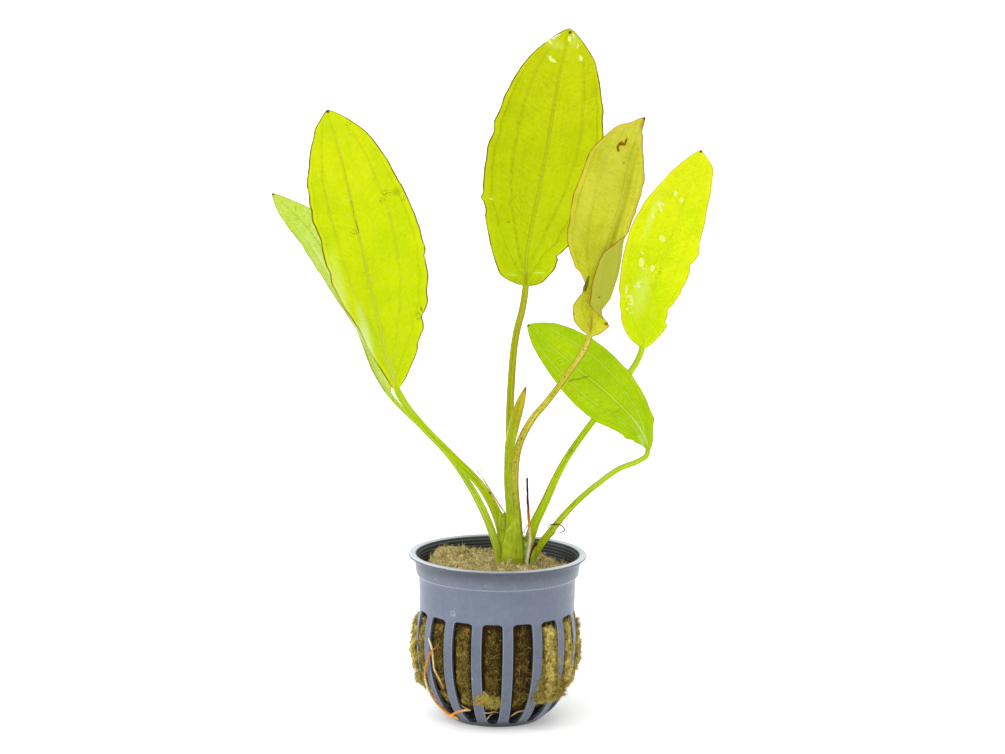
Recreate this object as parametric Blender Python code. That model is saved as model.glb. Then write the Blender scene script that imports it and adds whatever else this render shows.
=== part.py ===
"""Potted amazon sword plant: a rosette of six stalked leaves and one young leaf, growing from a
plug of rock wool in a small plastic net pot.

Units: the named sizes are millimetres, the finished meshes are metres, +Z is up.
Origin: the middle of the pot's flat base. The photographed side looks towards -Y.
"""
import math

import bpy
import numpy as np

MM = 0.001                      # metres in a millimetre
CLEARANCE = 0.35                # air between two pieces that touch

# ---- net pot -------------------------------------------------------------------------------
RIB_COUNT = 16
RIB_PITCH = 2 * math.pi / RIB_COUNT
FIRST_RIB_ANGLE = math.radians(8.1)     # turn of the rib nearest the front, towards +X
RIB_WIDTH = 3.2
SLOT_CORNER = 0.9               # extra rib width where a slot's top corners are rounded
SLOT_CORNER_START = 0.1         # share of that extra width one row lower
SLOT_PARTS = 3                  # facets across one slot
# Wall from base to rim: outside radius, outside height, inside radius, inside height.
POT_WALL = (
    (13.9, 0.0, 12.8, 1.4),
    (15.6, 1.4, 14.4, 2.3),
    (18.6, 4.0, 17.4, 4.6),
    (21.2, 8.0, 20.0, 8.4),
    (23.2, 13.0, 22.0, 13.2),
    (24.5, 19.0, 23.2, 19.0),
    (24.9, 26.0, 23.6, 26.0),
    (24.5, 31.0, 23.3, 31.0),
    (24.0, 33.4, 22.8, 33.4),
    (23.9, 34.3, 22.8, 34.3),
    (24.0, 40.0, 22.9, 40.0),
    (24.2, 44.8, 23.0, 45.3),
    (25.0, 45.3, 23.8, 46.1),
    (25.5, 49.2, 24.3, 49.6),
    (26.0, 50.5, 24.6, 50.6),
    (27.3, 50.7, 25.0, 51.1),
    (27.5, 51.1, 25.3, 51.4),
    (27.2, 51.6, 25.7, 51.6),
)
SLOT_BOTTOM_ROW = 1
SLOT_CORNER_ROW = 8
SLOT_TOP_ROW = 9

# ---- rock wool -----------------------------------------------------------------------------
WOOL_HEIGHTS = (5.0, 8.0, 13.0, 19.0, 26.0, 32.6, 33.0, 40.0, 45.2)
WOOL_SLOT_ROWS = (1, 5)         # first and last row that push out through the slots
WOOL_SEAT = 45.6                # height of the seat in the wool's top that the crown sits in
WOOL_TOP = 47.2                 # height of the mounds round the seat
SEAT_CENTRE = (5.5, 0.5)
SEAT_RADIUS = 8.5
# How far the wool stands out past the ribs in each slot, counted from the slot to the right
# of the first rib and round towards +Y. A negative value lies behind the ribs' face.
TUFT_REACH = (-1.2, 1.6, 0.8, 1.2, 0.8, -0.4, 0.6, 1.0, 0.2, 0.9, 1.3, 3.2, 2.6, 0.2, -1.1, -1.3)
# Extra reach of the three tufts that hang out near the pot's foot, by slot.
LOW_TUFTS = {1: 2.6, 2: 2.4, 12: 1.6}
LOW_TUFT_TOP = 20.0             # height where that extra reach ends
SLOT_WOOL_DEPTH = 1.5           # how far behind the ribs' face wool lies at a slot's two ends
SWELL_START = 0.8               # place of the first swollen row in the sine, in rows
SWELL_ROWS = 5.6                # rows that the sine's half wave takes
SHOULDER_SHARE = 0.75           # part of the swell reached close to a rib
SHOULDER_WIDTH = 0.12           # distance from a rib's side to that shoulder
MOUND_RISE = 0.5                # height of the low waves on the wool's top
MOUND_SCALE = (3.1, 3.7)        # their length over two pi, towards +X and towards +Y
MOUND_SHIFT = 0.6

# ---- leaves --------------------------------------------------------------------------------
SECTION_SIDE = (1.0, 0.62, 0.28)        # places of a section's points, from margin to midrib
STALK_STATIONS = 10
BLADE_STATIONS = 14
BLADE_THICKNESS = 0.55
THIN_BLADE = (0.45, 6.0)        # share of the thickness at no width, width that adds all of it
MIDRIB_THICKNESS = 1.3
TIP_MIDRIB_THICKNESS = 0.5
THIN_MIDRIB = (0.3, 3.0)        # the same two numbers for the midrib
WAVE_RISE = 4.0                 # the margin's waves are full a quarter of the way from both ends
LEFT_WAVE_SHIFT = 1.7           # radians that the left margin's waves run behind the right's
STALK_SIDES = 12
STALK_FLATNESS = 0.78           # depth of a stalk over its width
ROOT_OF_STALK = 46.0            # height where every stalk starts

# Each leaf: path of its stalk and midrib from the crown to the tip; the number of the path's
# point where the blade starts; stalk widths from crown to blade; half-widths of the blade to
# the left and right of the midrib at equal steps from blade base to tip; the way the seen face
# looks at the crown and at the tip; upward fold of the two halves; waves along the margin.
LEAVES = {
    "leaf_left": dict(
        path=((2.6, 2.2, ROOT_OF_STALK), (2.5, 2.2, 50), (1.5, 2, 58), (-1.3, 1, 65.5),
              (-5, -0.5, 72), (-15, -4, 83.4), (-22.4, -8, 92.2), (-30.4, -14, 104.7),
              (-32.7, -16.5, 110.4), (-37.6, -23, 132), (-43.1, -27, 156.7),
              (-47.7, -28, 176.6), (-51.8, -26, 189.7)),
        blade_from=7,
        stalk=(3.6, 4.0, 2.9, 2.5, 2.4, 2.1, 1.9, 2.3),
        left=(1.1, 4.6, 6.4, 9.2, 11.4, 12.4, 13.2, 13.2, 11.7, 7.5, 0.2),
        right=(1.1, 7.0, 11.6, 15.4, 17.6, 18.2, 17.6, 15.4, 12.8, 8.2, 0.2),
        face=((0, -1, 0.1), (0.1, -1, 0.1)), fold=0.10, waves=(6.5, 0.5)),
    "leaf_left_rear": dict(
        path=((0.5, -2, ROOT_OF_STALK), (0.4, -2, 50), (-1.5, -2, 57.5), (-4.6, -1, 65),
              (-8, 1, 71), (-15.8, 6, 81), (-22.1, 10, 86.7), (-34.4, 17, 98),
              (-39.1, 20, 104.8), (-44.7, 27, 119), (-51.1, 33, 132), (-60.2, 38, 145.6),
              (-72.5, 41, 157.4)),
        blade_from=7,
        stalk=(2.3, 2.5, 2.4, 1.9, 1.5, 1.3, 1.6),
        left=(0.8, 1.8, 3.2, 4.9, 6.5, 7.6, 8.2, 8.2, 7.0, 4.6, 0.2),
        right=(0.8, 4.0, 7.4, 10.4, 12.4, 13.2, 13.0, 11.4, 8.8, 5.6, 0.2),
        face=((0.35, -1, 0.1), (1.0, -0.75, 0.2)), fold=0.22, waves=(5.5, 0.5)),
    "leaf_tall": dict(
        path=((4.8, 5.5, ROOT_OF_STALK), (4.8, 5.5, 49), (4.3, 5.5, 61), (3.6, 6, 79.3),
              (3.5, 8, 101), (4.6, 11, 119.5), (5.9, 12.5, 125.5), (7, 14, 132.7),
              (7.8, 17, 142), (10.2, 22, 155), (13.4, 27, 172), (16.8, 31, 193.5),
              (20.3, 31, 211)),
        blade_from=7,
        stalk=(2.8, 2.5, 2.4, 2.2, 2.0),
        left=(0.9, 9.6, 13.7, 16.6, 17.6, 17.7, 17.1, 15.3, 12.5, 8.2, 0.2),
        right=(0.9, 8.2, 11.4, 13.8, 15.4, 16.1, 15.8, 14.8, 12.6, 9.0, 0.2),
        face=((0, -1, 0.1), (0.05, -1, 0.15)), fold=0.10, waves=(7.5, 0.6)),
    "leaf_brown_edged": dict(
        path=((6.3, -2, ROOT_OF_STALK), (6.2, -2, 50), (5.7, -2, 62.4), (4.8, -2.6, 73.5),
              (5.6, -3.8, 84.8), (9.3, -8, 95.3), (13.7, -12, 102), (18.6, -16, 109),
              (26.6, -21, 123), (27.1, -23, 129.4), (27.6, -24.5, 135), (30.5, -27.5, 148),
              (34.6, -30, 163.4), (37.8, -30, 178), (41.6, -26, 188.8)),
        blade_from=8,
        stalk=(4.4, 3.0, 2.2, 2.1, 2.2),
        left=(1.0, 4.6, 5.8, 3.9, 4.8, 8.6, 10.8, 12.4, 13.6, 14.0,
              13.6, 12.7, 11.2, 8.2, 5.2, 0.2),
        right=(1.0, 3.2, 4.4, 4.0, 4.6, 5.2, 5.0, 4.4, 3.8, 4.0,
               4.4, 4.4, 3.8, 2.6, 1.4, 0.2),
        face=((0, -1, 0.1), (-0.25, -1, 0.1)), fold=0.30, waves=(5.0, 0.8)),
    "leaf_right": dict(
        path=((8.9, 2.2, ROOT_OF_STALK), (9.1, 2.2, 51), (10.9, 3.6, 59), (14, 6.5, 65.4),
              (20.3, 11, 77.6), (29.4, 16, 90.3), (37.5, 19.5, 101), (43.3, 22, 110.4),
              (44.8, 23.5, 116.4), (47.5, 26, 128.6), (52, 28.5, 142.5), (56.7, 30, 156.5),
              (61.6, 28, 174)),
        blade_from=7,
        stalk=(2.2, 3.2, 2.7, 2.2, 2.0, 1.9, 1.9, 1.9),
        left=(0.9, 7.0, 9.2, 11.2, 12.4, 12.9, 12.6, 11.5, 9.0, 5.4, 0.2),
        right=(0.9, 4.6, 6.2, 7.4, 8.1, 8.5, 8.1, 7.2, 6.2, 4.8, 0.2),
        face=((0, -1, 0.1), (0.1, -1, 0.2)), fold=0.10, waves=(6.5, 0.6)),
    "leaf_bent": dict(
        path=((9.6, -1, ROOT_OF_STALK), (10.7, -1, 50), (12.7, -1.7, 54), (15.2, -3, 57.8),
              (19.3, -5.5, 63.8), (24.7, -8.5, 70.3), (30.5, -11.5, 75.7), (37, -14.5, 80.6),
              (42.6, -17, 84), (44.8, -17, 85.4), (45.3, -16, 87.3), (43.1, -13, 92.3),
              (34.1, -6, 101.7), (23, -0.5, 110), (14.6, 3, 116.4), (8.2, 5, 122)),
        blade_from=10,
        stalk=(2.2, 2.5, 2.0, 1.8, 1.7, 1.6, 1.5),
        left=(0.8, 4.0, 6.1, 8.0, 9.1, 9.1, 8.3, 6.7, 4.8, 2.9, 0.2),
        right=(0.8, 4.2, 6.6, 8.2, 9.3, 9.8, 9.9, 9.3, 7.9, 5.4, 0.2),
        face=((0, -1, 0.1), (0.05, -1, 0.3)), fold=0.08, waves=(3.5, 0.3)),
    "young_leaf": dict(
        path=((3.9, -5.5, ROOT_OF_STALK), (4.1, -5.5, 50), (4.2, -5.5, 62.3), (3.1, -5.6, 77.8),
              (3.5, -6.2, 87.1), (4.5, -6.6, 93.4), (5.9, -6.8, 99), (7.8, -6.8, 103.7)),
        blade_from=3,
        stalk=(4.8, 4.4, 3.4, 2.8, 2.5),
        left=(1.2, 1.5, 1.7, 1.7, 1.6, 1.4, 1.1, 0.8, 0.5, 0.3, 0.15),
        right=(1.2, 1.4, 1.5, 1.4, 1.3, 1.1, 0.9, 0.7, 0.5, 0.3, 0.15),
        face=((0, -1, 0.1), (0.1, -1, 0.1)), fold=0.9, waves=(1.0, 0.0)),
}

# ---- crown, dead stalk and roots -----------------------------------------------------------
CROWN_PLACE = (6.1, 1.8)
# Crown's turned outline, bottom to top: radius and height.
CROWN_OUTLINE = ((1.1, 46.0), (1.3, 47.0), (1.25, 50.0), (0.9, 53.0), (0.5, 55.0))
CROWN_SIDES = 12
DEAD_STALK_PATH = ((8.9, -4.2, ROOT_OF_STALK), (9.0, -4.2, 50), (9.4, -4, 55),
                   (9.8, -3.8, 62.7), (9.25, -3.4, 69), (8.7, -3, 75.7))
DEAD_STALK_RADII = (0.75, 0.6, 0.35)    # at the foot, half way and at the tip
DEAD_STALK_STATIONS = 8
# Roots that left through a slot, as places on the pot's outside: turn from the front in
# degrees, distance out from the ribs' face, height.
ROOT_BROWN_ROUTE = ((-43, 1.0, 26.5), (-47, 1.8, 25), (-53.5, 1.5, 21), (-60, 0.9, 17.5),
                    (-63.5, 0.9, 14), (-63, 0.9, 9.5), (-57, 0.9, 6), (-49, 0.9, 3.2),
                    (-41, 1.0, 2.2))
ROOT_BROWN_RADII = (0.35, 0.4, 0.35)
ROOT_BROWN_STATIONS = 14
ROOT_CREAM_ROUTE = ((-54, 0.9, 28), (-50.5, 0.75, 25.2), (-49.5, 0.75, 21.8), (-48.3, 0.8, 18.7),
                    (-45, 0.8, 16), (-41.5, 0.8, 13))
ROOT_CREAM_RADII = (0.25, 0.3, 0.2)
ROOT_CREAM_STATIONS = 10
TUBE_SIDES = 6
TUBE_SEAM = (0.13, -0.97, 0.2)  # no tube runs this way, so it fixes where a tube's rings start


def clear_objects():
    """Empty the scene of whatever a new file starts with."""
    for item in list(bpy.data.objects):
        bpy.data.objects.remove(item, do_unlink=True)


def make_material(name, colour, roughness, metallic=0.0):
    """One plain Principled material in linear colour."""
    material = bpy.data.materials.new(name)
    material.use_nodes = True
    shader = material.node_tree.nodes["Principled BSDF"]
    shader.inputs["Base Color"].default_value = (*colour, 1.0)
    shader.inputs["Roughness"].default_value = roughness
    shader.inputs["Metallic"].default_value = metallic
    return material


def make_object(name, points, faces, material, smooth_angle=40):
    """A mesh object from millimetre points, smooth except at edges sharper than the angle."""
    mesh = bpy.data.meshes.new(name)
    mesh.from_pydata((np.asarray(points, dtype=float) * MM).tolist(), [], faces)
    mesh.validate()
    mesh.shade_smooth()
    mesh.set_sharp_from_angle(angle=math.radians(smooth_angle))
    mesh.materials.append(material)
    item = bpy.data.objects.new(name, mesh)
    bpy.context.scene.collection.objects.link(item)
    return item


def ring_faces(rows, columns, first=0):
    """Quads between stacked rings of equal count, outward when the rings run anticlockwise."""
    faces = []
    for row in range(rows - 1):
        for column in range(columns):
            after = (column + 1) % columns
            low, high = first + row * columns, first + (row + 1) * columns
            faces.append((low + column, low + after, high + after, high + column))
    return faces


def smooth_curve(points, fractions):
    """A smooth curve through the points, read at fractions of its length, and the fractions at
    which it meets the points."""
    points = np.asarray(points, dtype=float)
    knots = np.concatenate(([0.0], np.cumsum(np.linalg.norm(np.diff(points, axis=0), axis=1))))
    slopes = np.gradient(points, knots, axis=0)
    fine = np.linspace(0.0, knots[-1], 40 * len(points))
    piece = np.clip(np.searchsorted(knots, fine, side="right") - 1, 0, len(knots) - 2)
    span = (knots[piece + 1] - knots[piece])[:, None]
    t = (fine - knots[piece])[:, None] / span
    curve = ((2 * t**3 - 3 * t**2 + 1) * points[piece] + (t**3 - 2 * t**2 + t) * span * slopes[piece]
             + (3 * t**2 - 2 * t**3) * points[piece + 1] + (t**3 - t**2) * span * slopes[piece + 1])
    length = np.concatenate(([0.0], np.cumsum(np.linalg.norm(np.diff(curve, axis=0), axis=1))))
    wanted = np.asarray(fractions) * length[-1]
    places = np.stack([np.interp(wanted, length, curve[:, axis]) for axis in range(3)], axis=1)
    return places, np.interp(knots, fine, length) / length[-1]


def directions(curve):
    """Unit tangents along a curve."""
    tangent = np.gradient(curve, axis=0)
    return tangent / np.linalg.norm(tangent, axis=1)[:, None]


def make_tube(name, path, radii, material, stations):
    """A round tube along a smooth path, its radius running through three values, ends closed."""
    share = np.linspace(0, 1, stations)
    curve, _ = smooth_curve(path, share)
    tangent = directions(curve)
    side = np.cross(tangent, TUBE_SEAM)
    side /= np.linalg.norm(side, axis=1)[:, None]
    across = np.cross(tangent, side)
    radius = np.interp(share, (0, 0.5, 1), radii)[:, None, None]
    angle = np.arange(TUBE_SIDES) * 2 * math.pi / TUBE_SIDES
    rings = (curve[:, None] + radius * (np.cos(angle)[None, :, None] * side[:, None]
                                        + np.sin(angle)[None, :, None] * across[:, None]))
    faces = ring_faces(stations, TUBE_SIDES)
    faces.append(tuple(reversed(range(TUBE_SIDES))))
    faces.append(tuple(range((stations - 1) * TUBE_SIDES, stations * TUBE_SIDES)))
    return make_object(name, rings.reshape(-1, 3), faces, material)


def rib_half_angle(row):
    """Half the angle that a rib takes at a row of the wall: ribs keep one width all the way."""
    widening = {SLOT_TOP_ROW: SLOT_CORNER, SLOT_CORNER_ROW: SLOT_CORNER_START * SLOT_CORNER}
    return (RIB_WIDTH / 2 + widening.get(row, 0.0)) / POT_WALL[row][0]


def pot_columns(row):
    """Angles of one row's points: both edges of each rib and the points across each slot."""
    half = rib_half_angle(min(max(row, SLOT_BOTTOM_ROW), SLOT_TOP_ROW))
    angles = []
    for rib in range(RIB_COUNT):
        middle = FIRST_RIB_ANGLE + rib * RIB_PITCH
        slot = RIB_PITCH - 2 * half
        angles.append(middle - half)
        angles.extend(middle + half + slot * part / SLOT_PARTS for part in range(SLOT_PARTS))
    return np.array(angles)


def place_on_circle(radius, angle, height):
    """Points at angles measured from the front (-Y) towards +X."""
    height = np.broadcast_to(height, angle.shape)
    return np.stack([radius * np.sin(angle), -radius * np.cos(angle), height], axis=1)


def make_net_pot(material):
    """The pot as one moulding: a wall of two skins with sixteen slots cut out of both."""
    columns = RIB_COUNT * (SLOT_PARTS + 1)
    rows = len(POT_WALL)
    outside = [place_on_circle(POT_WALL[row][0], pot_columns(row), POT_WALL[row][1])
               for row in range(rows)]
    inside = [place_on_circle(POT_WALL[row][2], pot_columns(row), POT_WALL[row][3])
              for row in range(rows)]
    points = np.concatenate(outside + inside)
    skin = rows * columns

    def is_open(row, column):
        return SLOT_BOTTOM_ROW <= row < SLOT_TOP_ROW and column % (SLOT_PARTS + 1) != 0

    faces = []
    for row in range(rows - 1):
        for column in range(columns):
            after, before = (column + 1) % columns, (column - 1) % columns
            a, b = row * columns + column, row * columns + after
            c, d = a + columns, b + columns
            if not is_open(row, column):
                faces.append((a, b, d, c))
                faces.append((skin + c, skin + d, skin + b, skin + a))
                if is_open(row, after):
                    faces.append((b, skin + b, skin + d, d))
                if is_open(row, before):
                    faces.append((a, c, skin + c, skin + a))
            else:
                if not is_open(row - 1, column):
                    faces.append((a, b, skin + b, skin + a))
                if not is_open(row + 1, column):
                    faces.append((c, skin + c, skin + d, d))
    for column in range(columns):
        after = (column + 1) % columns
        top = (rows - 1) * columns
        faces.append((top + column, top + after, skin + top + after, skin + top + column))
    faces.append(tuple(reversed(range(columns))))
    faces.append(tuple(range(skin, skin + columns)))
    return make_object("net_pot", points, faces, material, smooth_angle=50)


def inside_radius(height):
    """Inner radius of the pot's wall at a height."""
    wall = np.array(POT_WALL)
    return float(np.interp(height, wall[:, 3], wall[:, 2]))


def outside_radius(height):
    """Outer radius of the pot's wall at a height."""
    wall = np.array(POT_WALL)
    return float(np.interp(height, wall[:, 1], wall[:, 0]))


def along_ribs(route):
    """Turn places given on the pot's outside into points."""
    turn, distance, height = np.array(route, dtype=float).T
    radius = np.array([outside_radius(level) for level in height]) + distance
    return place_on_circle(radius, np.radians(turn), height)


def wool_row(row):
    """One ring of the plug: it fills the pot, and swells out between the ribs."""
    height = WOOL_HEIGHTS[row]
    inner = inside_radius(height) - CLEARANCE
    outer = outside_radius(height)
    swells = WOOL_SLOT_ROWS[0] <= row <= WOOL_SLOT_ROWS[1]
    edge = (RIB_WIDTH / 2 + CLEARANCE) / inside_radius(height)
    step = SHOULDER_WIDTH / inner
    angles, radii = [], []
    for slot in range(RIB_COUNT):
        start = FIRST_RIB_ANGLE + slot * RIB_PITCH + edge
        end = FIRST_RIB_ANGLE + (slot + 1) * RIB_PITCH - edge
        middle = inner
        if swells:
            taper = math.sin(math.pi * (row - WOOL_SLOT_ROWS[0] + SWELL_START) / SWELL_ROWS)
            low = LOW_TUFTS.get(slot, 0.0) * max(0.0, 1.0 - height / LOW_TUFT_TOP)
            swell = (TUFT_REACH[slot] + SLOT_WOOL_DEPTH) * taper
            middle = max(inner, outer - SLOT_WOOL_DEPTH + swell + low)
        shoulder = inner + SHOULDER_SHARE * (middle - inner)
        angles += [start, start + step, (start + end) / 2, end - step, end]
        radii += [inner, shoulder, middle, shoulder, inner]
    return np.array(angles), np.array(radii), height


def wool_mound(x, y):
    """Height of the low mounds that lie between the crown's seat and the pot's wall."""
    waves = np.sin(x / MOUND_SCALE[0]) * np.cos(y / MOUND_SCALE[1] + MOUND_SHIFT)
    return WOOL_TOP + MOUND_RISE * waves


def make_rock_wool(material):
    """The plug of rock wool: stacked rings and a cap with a seat for the crown."""
    rings = []
    for row in range(len(WOOL_HEIGHTS)):
        angles, radii, height = wool_row(row)
        rings.append(place_on_circle(radii, angles, height))
    seat = place_on_circle(SEAT_RADIUS, angles, WOOL_SEAT) + (*SEAT_CENTRE, 0.0)
    mound = (rings[-1] + seat) / 2
    mound[:, 2] = wool_mound(mound[:, 0], mound[:, 1])
    rings += [mound, seat]
    count = len(seat)
    points = np.concatenate(rings + [np.array([[*SEAT_CENTRE, WOOL_SEAT]])])
    faces = ring_faces(len(rings), count)
    faces.append(tuple(reversed(range(count))))
    last, centre = (len(rings) - 1) * count, len(points) - 1
    faces.extend((last + i, last + (i + 1) % count, centre) for i in range(count))
    return make_object("rock_wool", points, faces, material, smooth_angle=60)


def blade_half_width(values, t):
    """Half-width along the blade; squares are blended, which rounds the base and the tip."""
    steps = np.linspace(0, 1, len(values))
    return np.sqrt(np.interp(t, steps, np.square(values)))


def leaf_frames(leaf, fractions):
    """Points, side directions and face directions along a leaf at fractions of its length."""
    curve, _ = smooth_curve(leaf["path"], fractions)
    tangent = directions(curve)
    start, end = np.array(leaf["face"], dtype=float)
    blend = np.asarray(fractions)[:, None]
    face = start * (1 - blend) + end * blend
    side = np.cross(tangent, face)
    side /= np.linalg.norm(side, axis=1)[:, None]
    return curve, side, np.cross(side, tangent)


def leaf_section(leaf, stage, t):
    """Offsets of one cross-section, as pairs of sideways and faceward distances.

    The section is a closed loop: right margin, over the seen face to the left margin, and back
    under. On the stalk it is an oval, on the blade a thin lens thickened at the midrib.
    """
    if stage < 0:
        stations = np.linspace(-1, 0, len(leaf["stalk"]))
        half = np.interp(stage, stations, leaf["stalk"]) / 2
        angle = np.arange(STALK_SIDES) * 2 * math.pi / STALK_SIDES
        return np.stack([half * np.cos(angle), half * STALK_FLATNESS * np.sin(angle)], axis=1)
    left, right = blade_half_width(leaf["left"], t), blade_half_width(leaf["right"], t)
    waves, height = leaf["waves"]
    offsets = []
    for reach, turn in ((right, 0.0), (left, LEFT_WAVE_SHIFT)):
        envelope = min(1.0, WAVE_RISE * t, WAVE_RISE * (1 - t))
        wave = height * math.sin(2 * math.pi * waves * t + turn) * envelope
        offsets.append([(part * reach, leaf["fold"] * part * reach + wave * part**3)
                        for part in SECTION_SIDE])
    narrow = min(left, right)
    thick = BLADE_THICKNESS * min(1.0, THIN_BLADE[0] + narrow / THIN_BLADE[1])
    rib = MIDRIB_THICKNESS * (1 - t) + TIP_MIDRIB_THICKNESS * t
    rib *= min(1.0, THIN_MIDRIB[0] + narrow / THIN_MIDRIB[1])
    right_side, left_side = offsets
    top = [(right_side[1][0], right_side[1][1] + thick / 2),
           (right_side[2][0], right_side[2][1] + thick / 2), (0.0, thick / 2),
           (-left_side[2][0], left_side[2][1] + thick / 2),
           (-left_side[1][0], left_side[1][1] + thick / 2)]
    under = [(-left_side[1][0], left_side[1][1] - thick / 2),
             (-left_side[2][0], left_side[2][1] - thick / 2), (0.0, -rib + thick / 2),
             (right_side[2][0], right_side[2][1] - thick / 2),
             (right_side[1][0], right_side[1][1] - thick / 2)]
    loop = [right_side[0]] + top + [(-left_side[0][0], left_side[0][1])] + under
    return np.array(loop)


def make_leaf(name, leaf, material):
    """A leaf grown as one piece: oval stalk, then a thin blade on both sides of the midrib."""
    _, at_knots = smooth_curve(leaf["path"], (0, 1))
    start = at_knots[leaf["blade_from"]]
    stalk = np.linspace(0, start, STALK_STATIONS + 1)[:-1]
    t = (1 - np.cos(np.linspace(0, math.pi, BLADE_STATIONS))) / 2
    fractions = np.concatenate([stalk, start + (1 - start) * t])
    curve, side, out = leaf_frames(leaf, fractions)
    stages = np.concatenate([stalk / start - 1, np.zeros(BLADE_STATIONS)])
    steps = np.concatenate([np.zeros(STALK_STATIONS), t])
    rings = []
    for place, across, face, stage, step in zip(curve, side, out, stages, steps):
        section = leaf_section(leaf, stage, step)[::-1]
        rings.append(place + section[:, :1] * across + section[:, 1:] * face)
    count = len(rings[0])
    faces = ring_faces(len(rings), count)
    faces.append(tuple(reversed(range(count))))
    faces.append(tuple(range((len(rings) - 1) * count, len(rings) * count)))
    return make_object(name, np.concatenate(rings), faces, material, smooth_angle=70)


def make_crown(material):
    """The short stem in the middle of the rosette, turned from its outline."""
    angle = np.arange(CROWN_SIDES) * 2 * math.pi / CROWN_SIDES
    rings = [place_on_circle(radius, angle, height) + (*CROWN_PLACE, 0)
             for radius, height in CROWN_OUTLINE]
    faces = ring_faces(len(rings), CROWN_SIDES)
    faces.append(tuple(reversed(range(CROWN_SIDES))))
    faces.append(tuple(range((len(rings) - 1) * CROWN_SIDES, len(rings) * CROWN_SIDES)))
    return make_object("crown", np.concatenate(rings), faces, material)


def build_plant():
    """Make every piece of the potted plant."""
    clear_objects()
    make_net_pot(make_material("grey_blue_plastic", (0.19, 0.22, 0.28), 0.4))
    make_rock_wool(make_material("rock_wool", (0.30, 0.24, 0.08), 0.95))
    make_crown(make_material("crown_green", (0.30, 0.35, 0.05), 0.5))
    greens = {
        "leaf_left": (0.45, 0.62, 0.02), "leaf_left_rear": (0.55, 0.75, 0.15),
        "leaf_tall": (0.42, 0.58, 0.01), "leaf_brown_edged": (0.45, 0.48, 0.03),
        "leaf_right": (0.60, 0.75, 0.02), "leaf_bent": (0.42, 0.62, 0.02),
        "young_leaf": (0.45, 0.50, 0.06),
    }
    for name, leaf in LEAVES.items():
        make_leaf(name, leaf, make_material(name + "_green", greens[name], 0.45))
    make_tube("dead_stalk", DEAD_STALK_PATH, DEAD_STALK_RADII,
              make_material("dried_stalk", (0.25, 0.10, 0.03), 0.7), DEAD_STALK_STATIONS)
    make_tube("root_brown", along_ribs(ROOT_BROWN_ROUTE), ROOT_BROWN_RADII,
              make_material("brown_root", (0.45, 0.16, 0.03), 0.6), ROOT_BROWN_STATIONS)
    make_tube("root_cream", along_ribs(ROOT_CREAM_ROUTE), ROOT_CREAM_RADII,
              make_material("cream_root", (0.65, 0.50, 0.30), 0.6), ROOT_CREAM_STATIONS)


build_plant()
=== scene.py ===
"""Potted amazon sword plant: the fine forms and the finishes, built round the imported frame.

Named sizes are millimetres unless they say otherwise. The finished meshes are metres, +Z is up and
the photographed side looks towards -Y. Angles round the pot run from the front towards +X.
"""
import math
from functools import partial

import bpy
import numpy as np
from bpy.props import FloatProperty, FloatVectorProperty, IntProperty, PointerProperty
from mathutils import Matrix, Vector


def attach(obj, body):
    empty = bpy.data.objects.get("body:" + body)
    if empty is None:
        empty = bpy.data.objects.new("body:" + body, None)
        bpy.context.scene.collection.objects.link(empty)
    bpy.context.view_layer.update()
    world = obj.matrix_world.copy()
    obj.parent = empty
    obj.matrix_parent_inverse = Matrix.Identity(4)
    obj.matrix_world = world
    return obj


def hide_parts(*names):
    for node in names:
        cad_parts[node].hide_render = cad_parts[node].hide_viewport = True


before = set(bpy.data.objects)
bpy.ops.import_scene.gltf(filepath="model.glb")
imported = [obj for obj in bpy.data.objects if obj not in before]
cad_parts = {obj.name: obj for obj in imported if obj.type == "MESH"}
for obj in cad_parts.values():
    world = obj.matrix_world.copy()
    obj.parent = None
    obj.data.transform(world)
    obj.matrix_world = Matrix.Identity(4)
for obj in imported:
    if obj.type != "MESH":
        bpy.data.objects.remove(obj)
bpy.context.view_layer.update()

bl_info = {
    "name": "Potted Amazon Sword Plant",
    "version": (1, 0, 0),
    "blender": (4, 5, 0),
    "location": "3D View > Sidebar > Plant",
    "description": "Builds the pot, the rock wool, the leaves and the roots of a potted sword plant",
    "category": "Add Mesh",
}

MM = 0.001                      # metres in a millimetre
BODY = "root"                   # the plant and its pot are one body
CLEARANCE = 0.35                # air between two pieces that touch
UP = np.array([0.0, 0.0, 1.0])
RIPPLE_WAVES = 18
TUBE_SEAM = (0.13, -0.97, 0.2)  # no path runs this way, so it gives a tube its first direction

# ---- net pot -------------------------------------------------------------------------------
RIB_COUNT = 16
RIB_PITCH = 2 * math.pi / RIB_COUNT
FIRST_RIB_ANGLE = math.radians(8.1)
RIB_WIDTH = 3.2
SLOT_CORNER = 1.0               # radius of a slot's corners
RIB_CELLS = 7                   # columns of faces across a rib
SLOT_CELLS = 8                  # columns of faces across a slot
# Wall from base to rim: outside radius, outside height, inside radius, inside height.
POT_WALL = np.array((
    (13.9, 0.0, 12.8, 1.4), (15.6, 1.4, 14.4, 2.3), (18.6, 4.0, 17.4, 4.6),
    (21.2, 8.0, 20.0, 8.4), (23.2, 13.0, 22.0, 13.2), (24.5, 19.0, 23.2, 19.0),
    (24.9, 26.0, 23.6, 26.0), (24.5, 31.0, 23.3, 31.0), (24.0, 33.4, 22.8, 33.4),
    (23.9, 34.3, 22.8, 34.3), (24.0, 40.0, 22.9, 40.0), (24.2, 44.8, 23.0, 45.3),
    (25.0, 45.3, 23.8, 46.1), (25.5, 49.2, 24.3, 49.6), (26.0, 50.5, 24.6, 50.6),
    (27.3, 50.7, 25.0, 51.1), (27.5, 51.1, 25.3, 51.4), (27.2, 51.6, 25.7, 51.6),
))
SLOT_BOTTOM_ROW = 1
SLOT_TOP_ROW = 9
BOWL_LAST_ROW = 10              # rows up to here lie on one smooth curve
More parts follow.
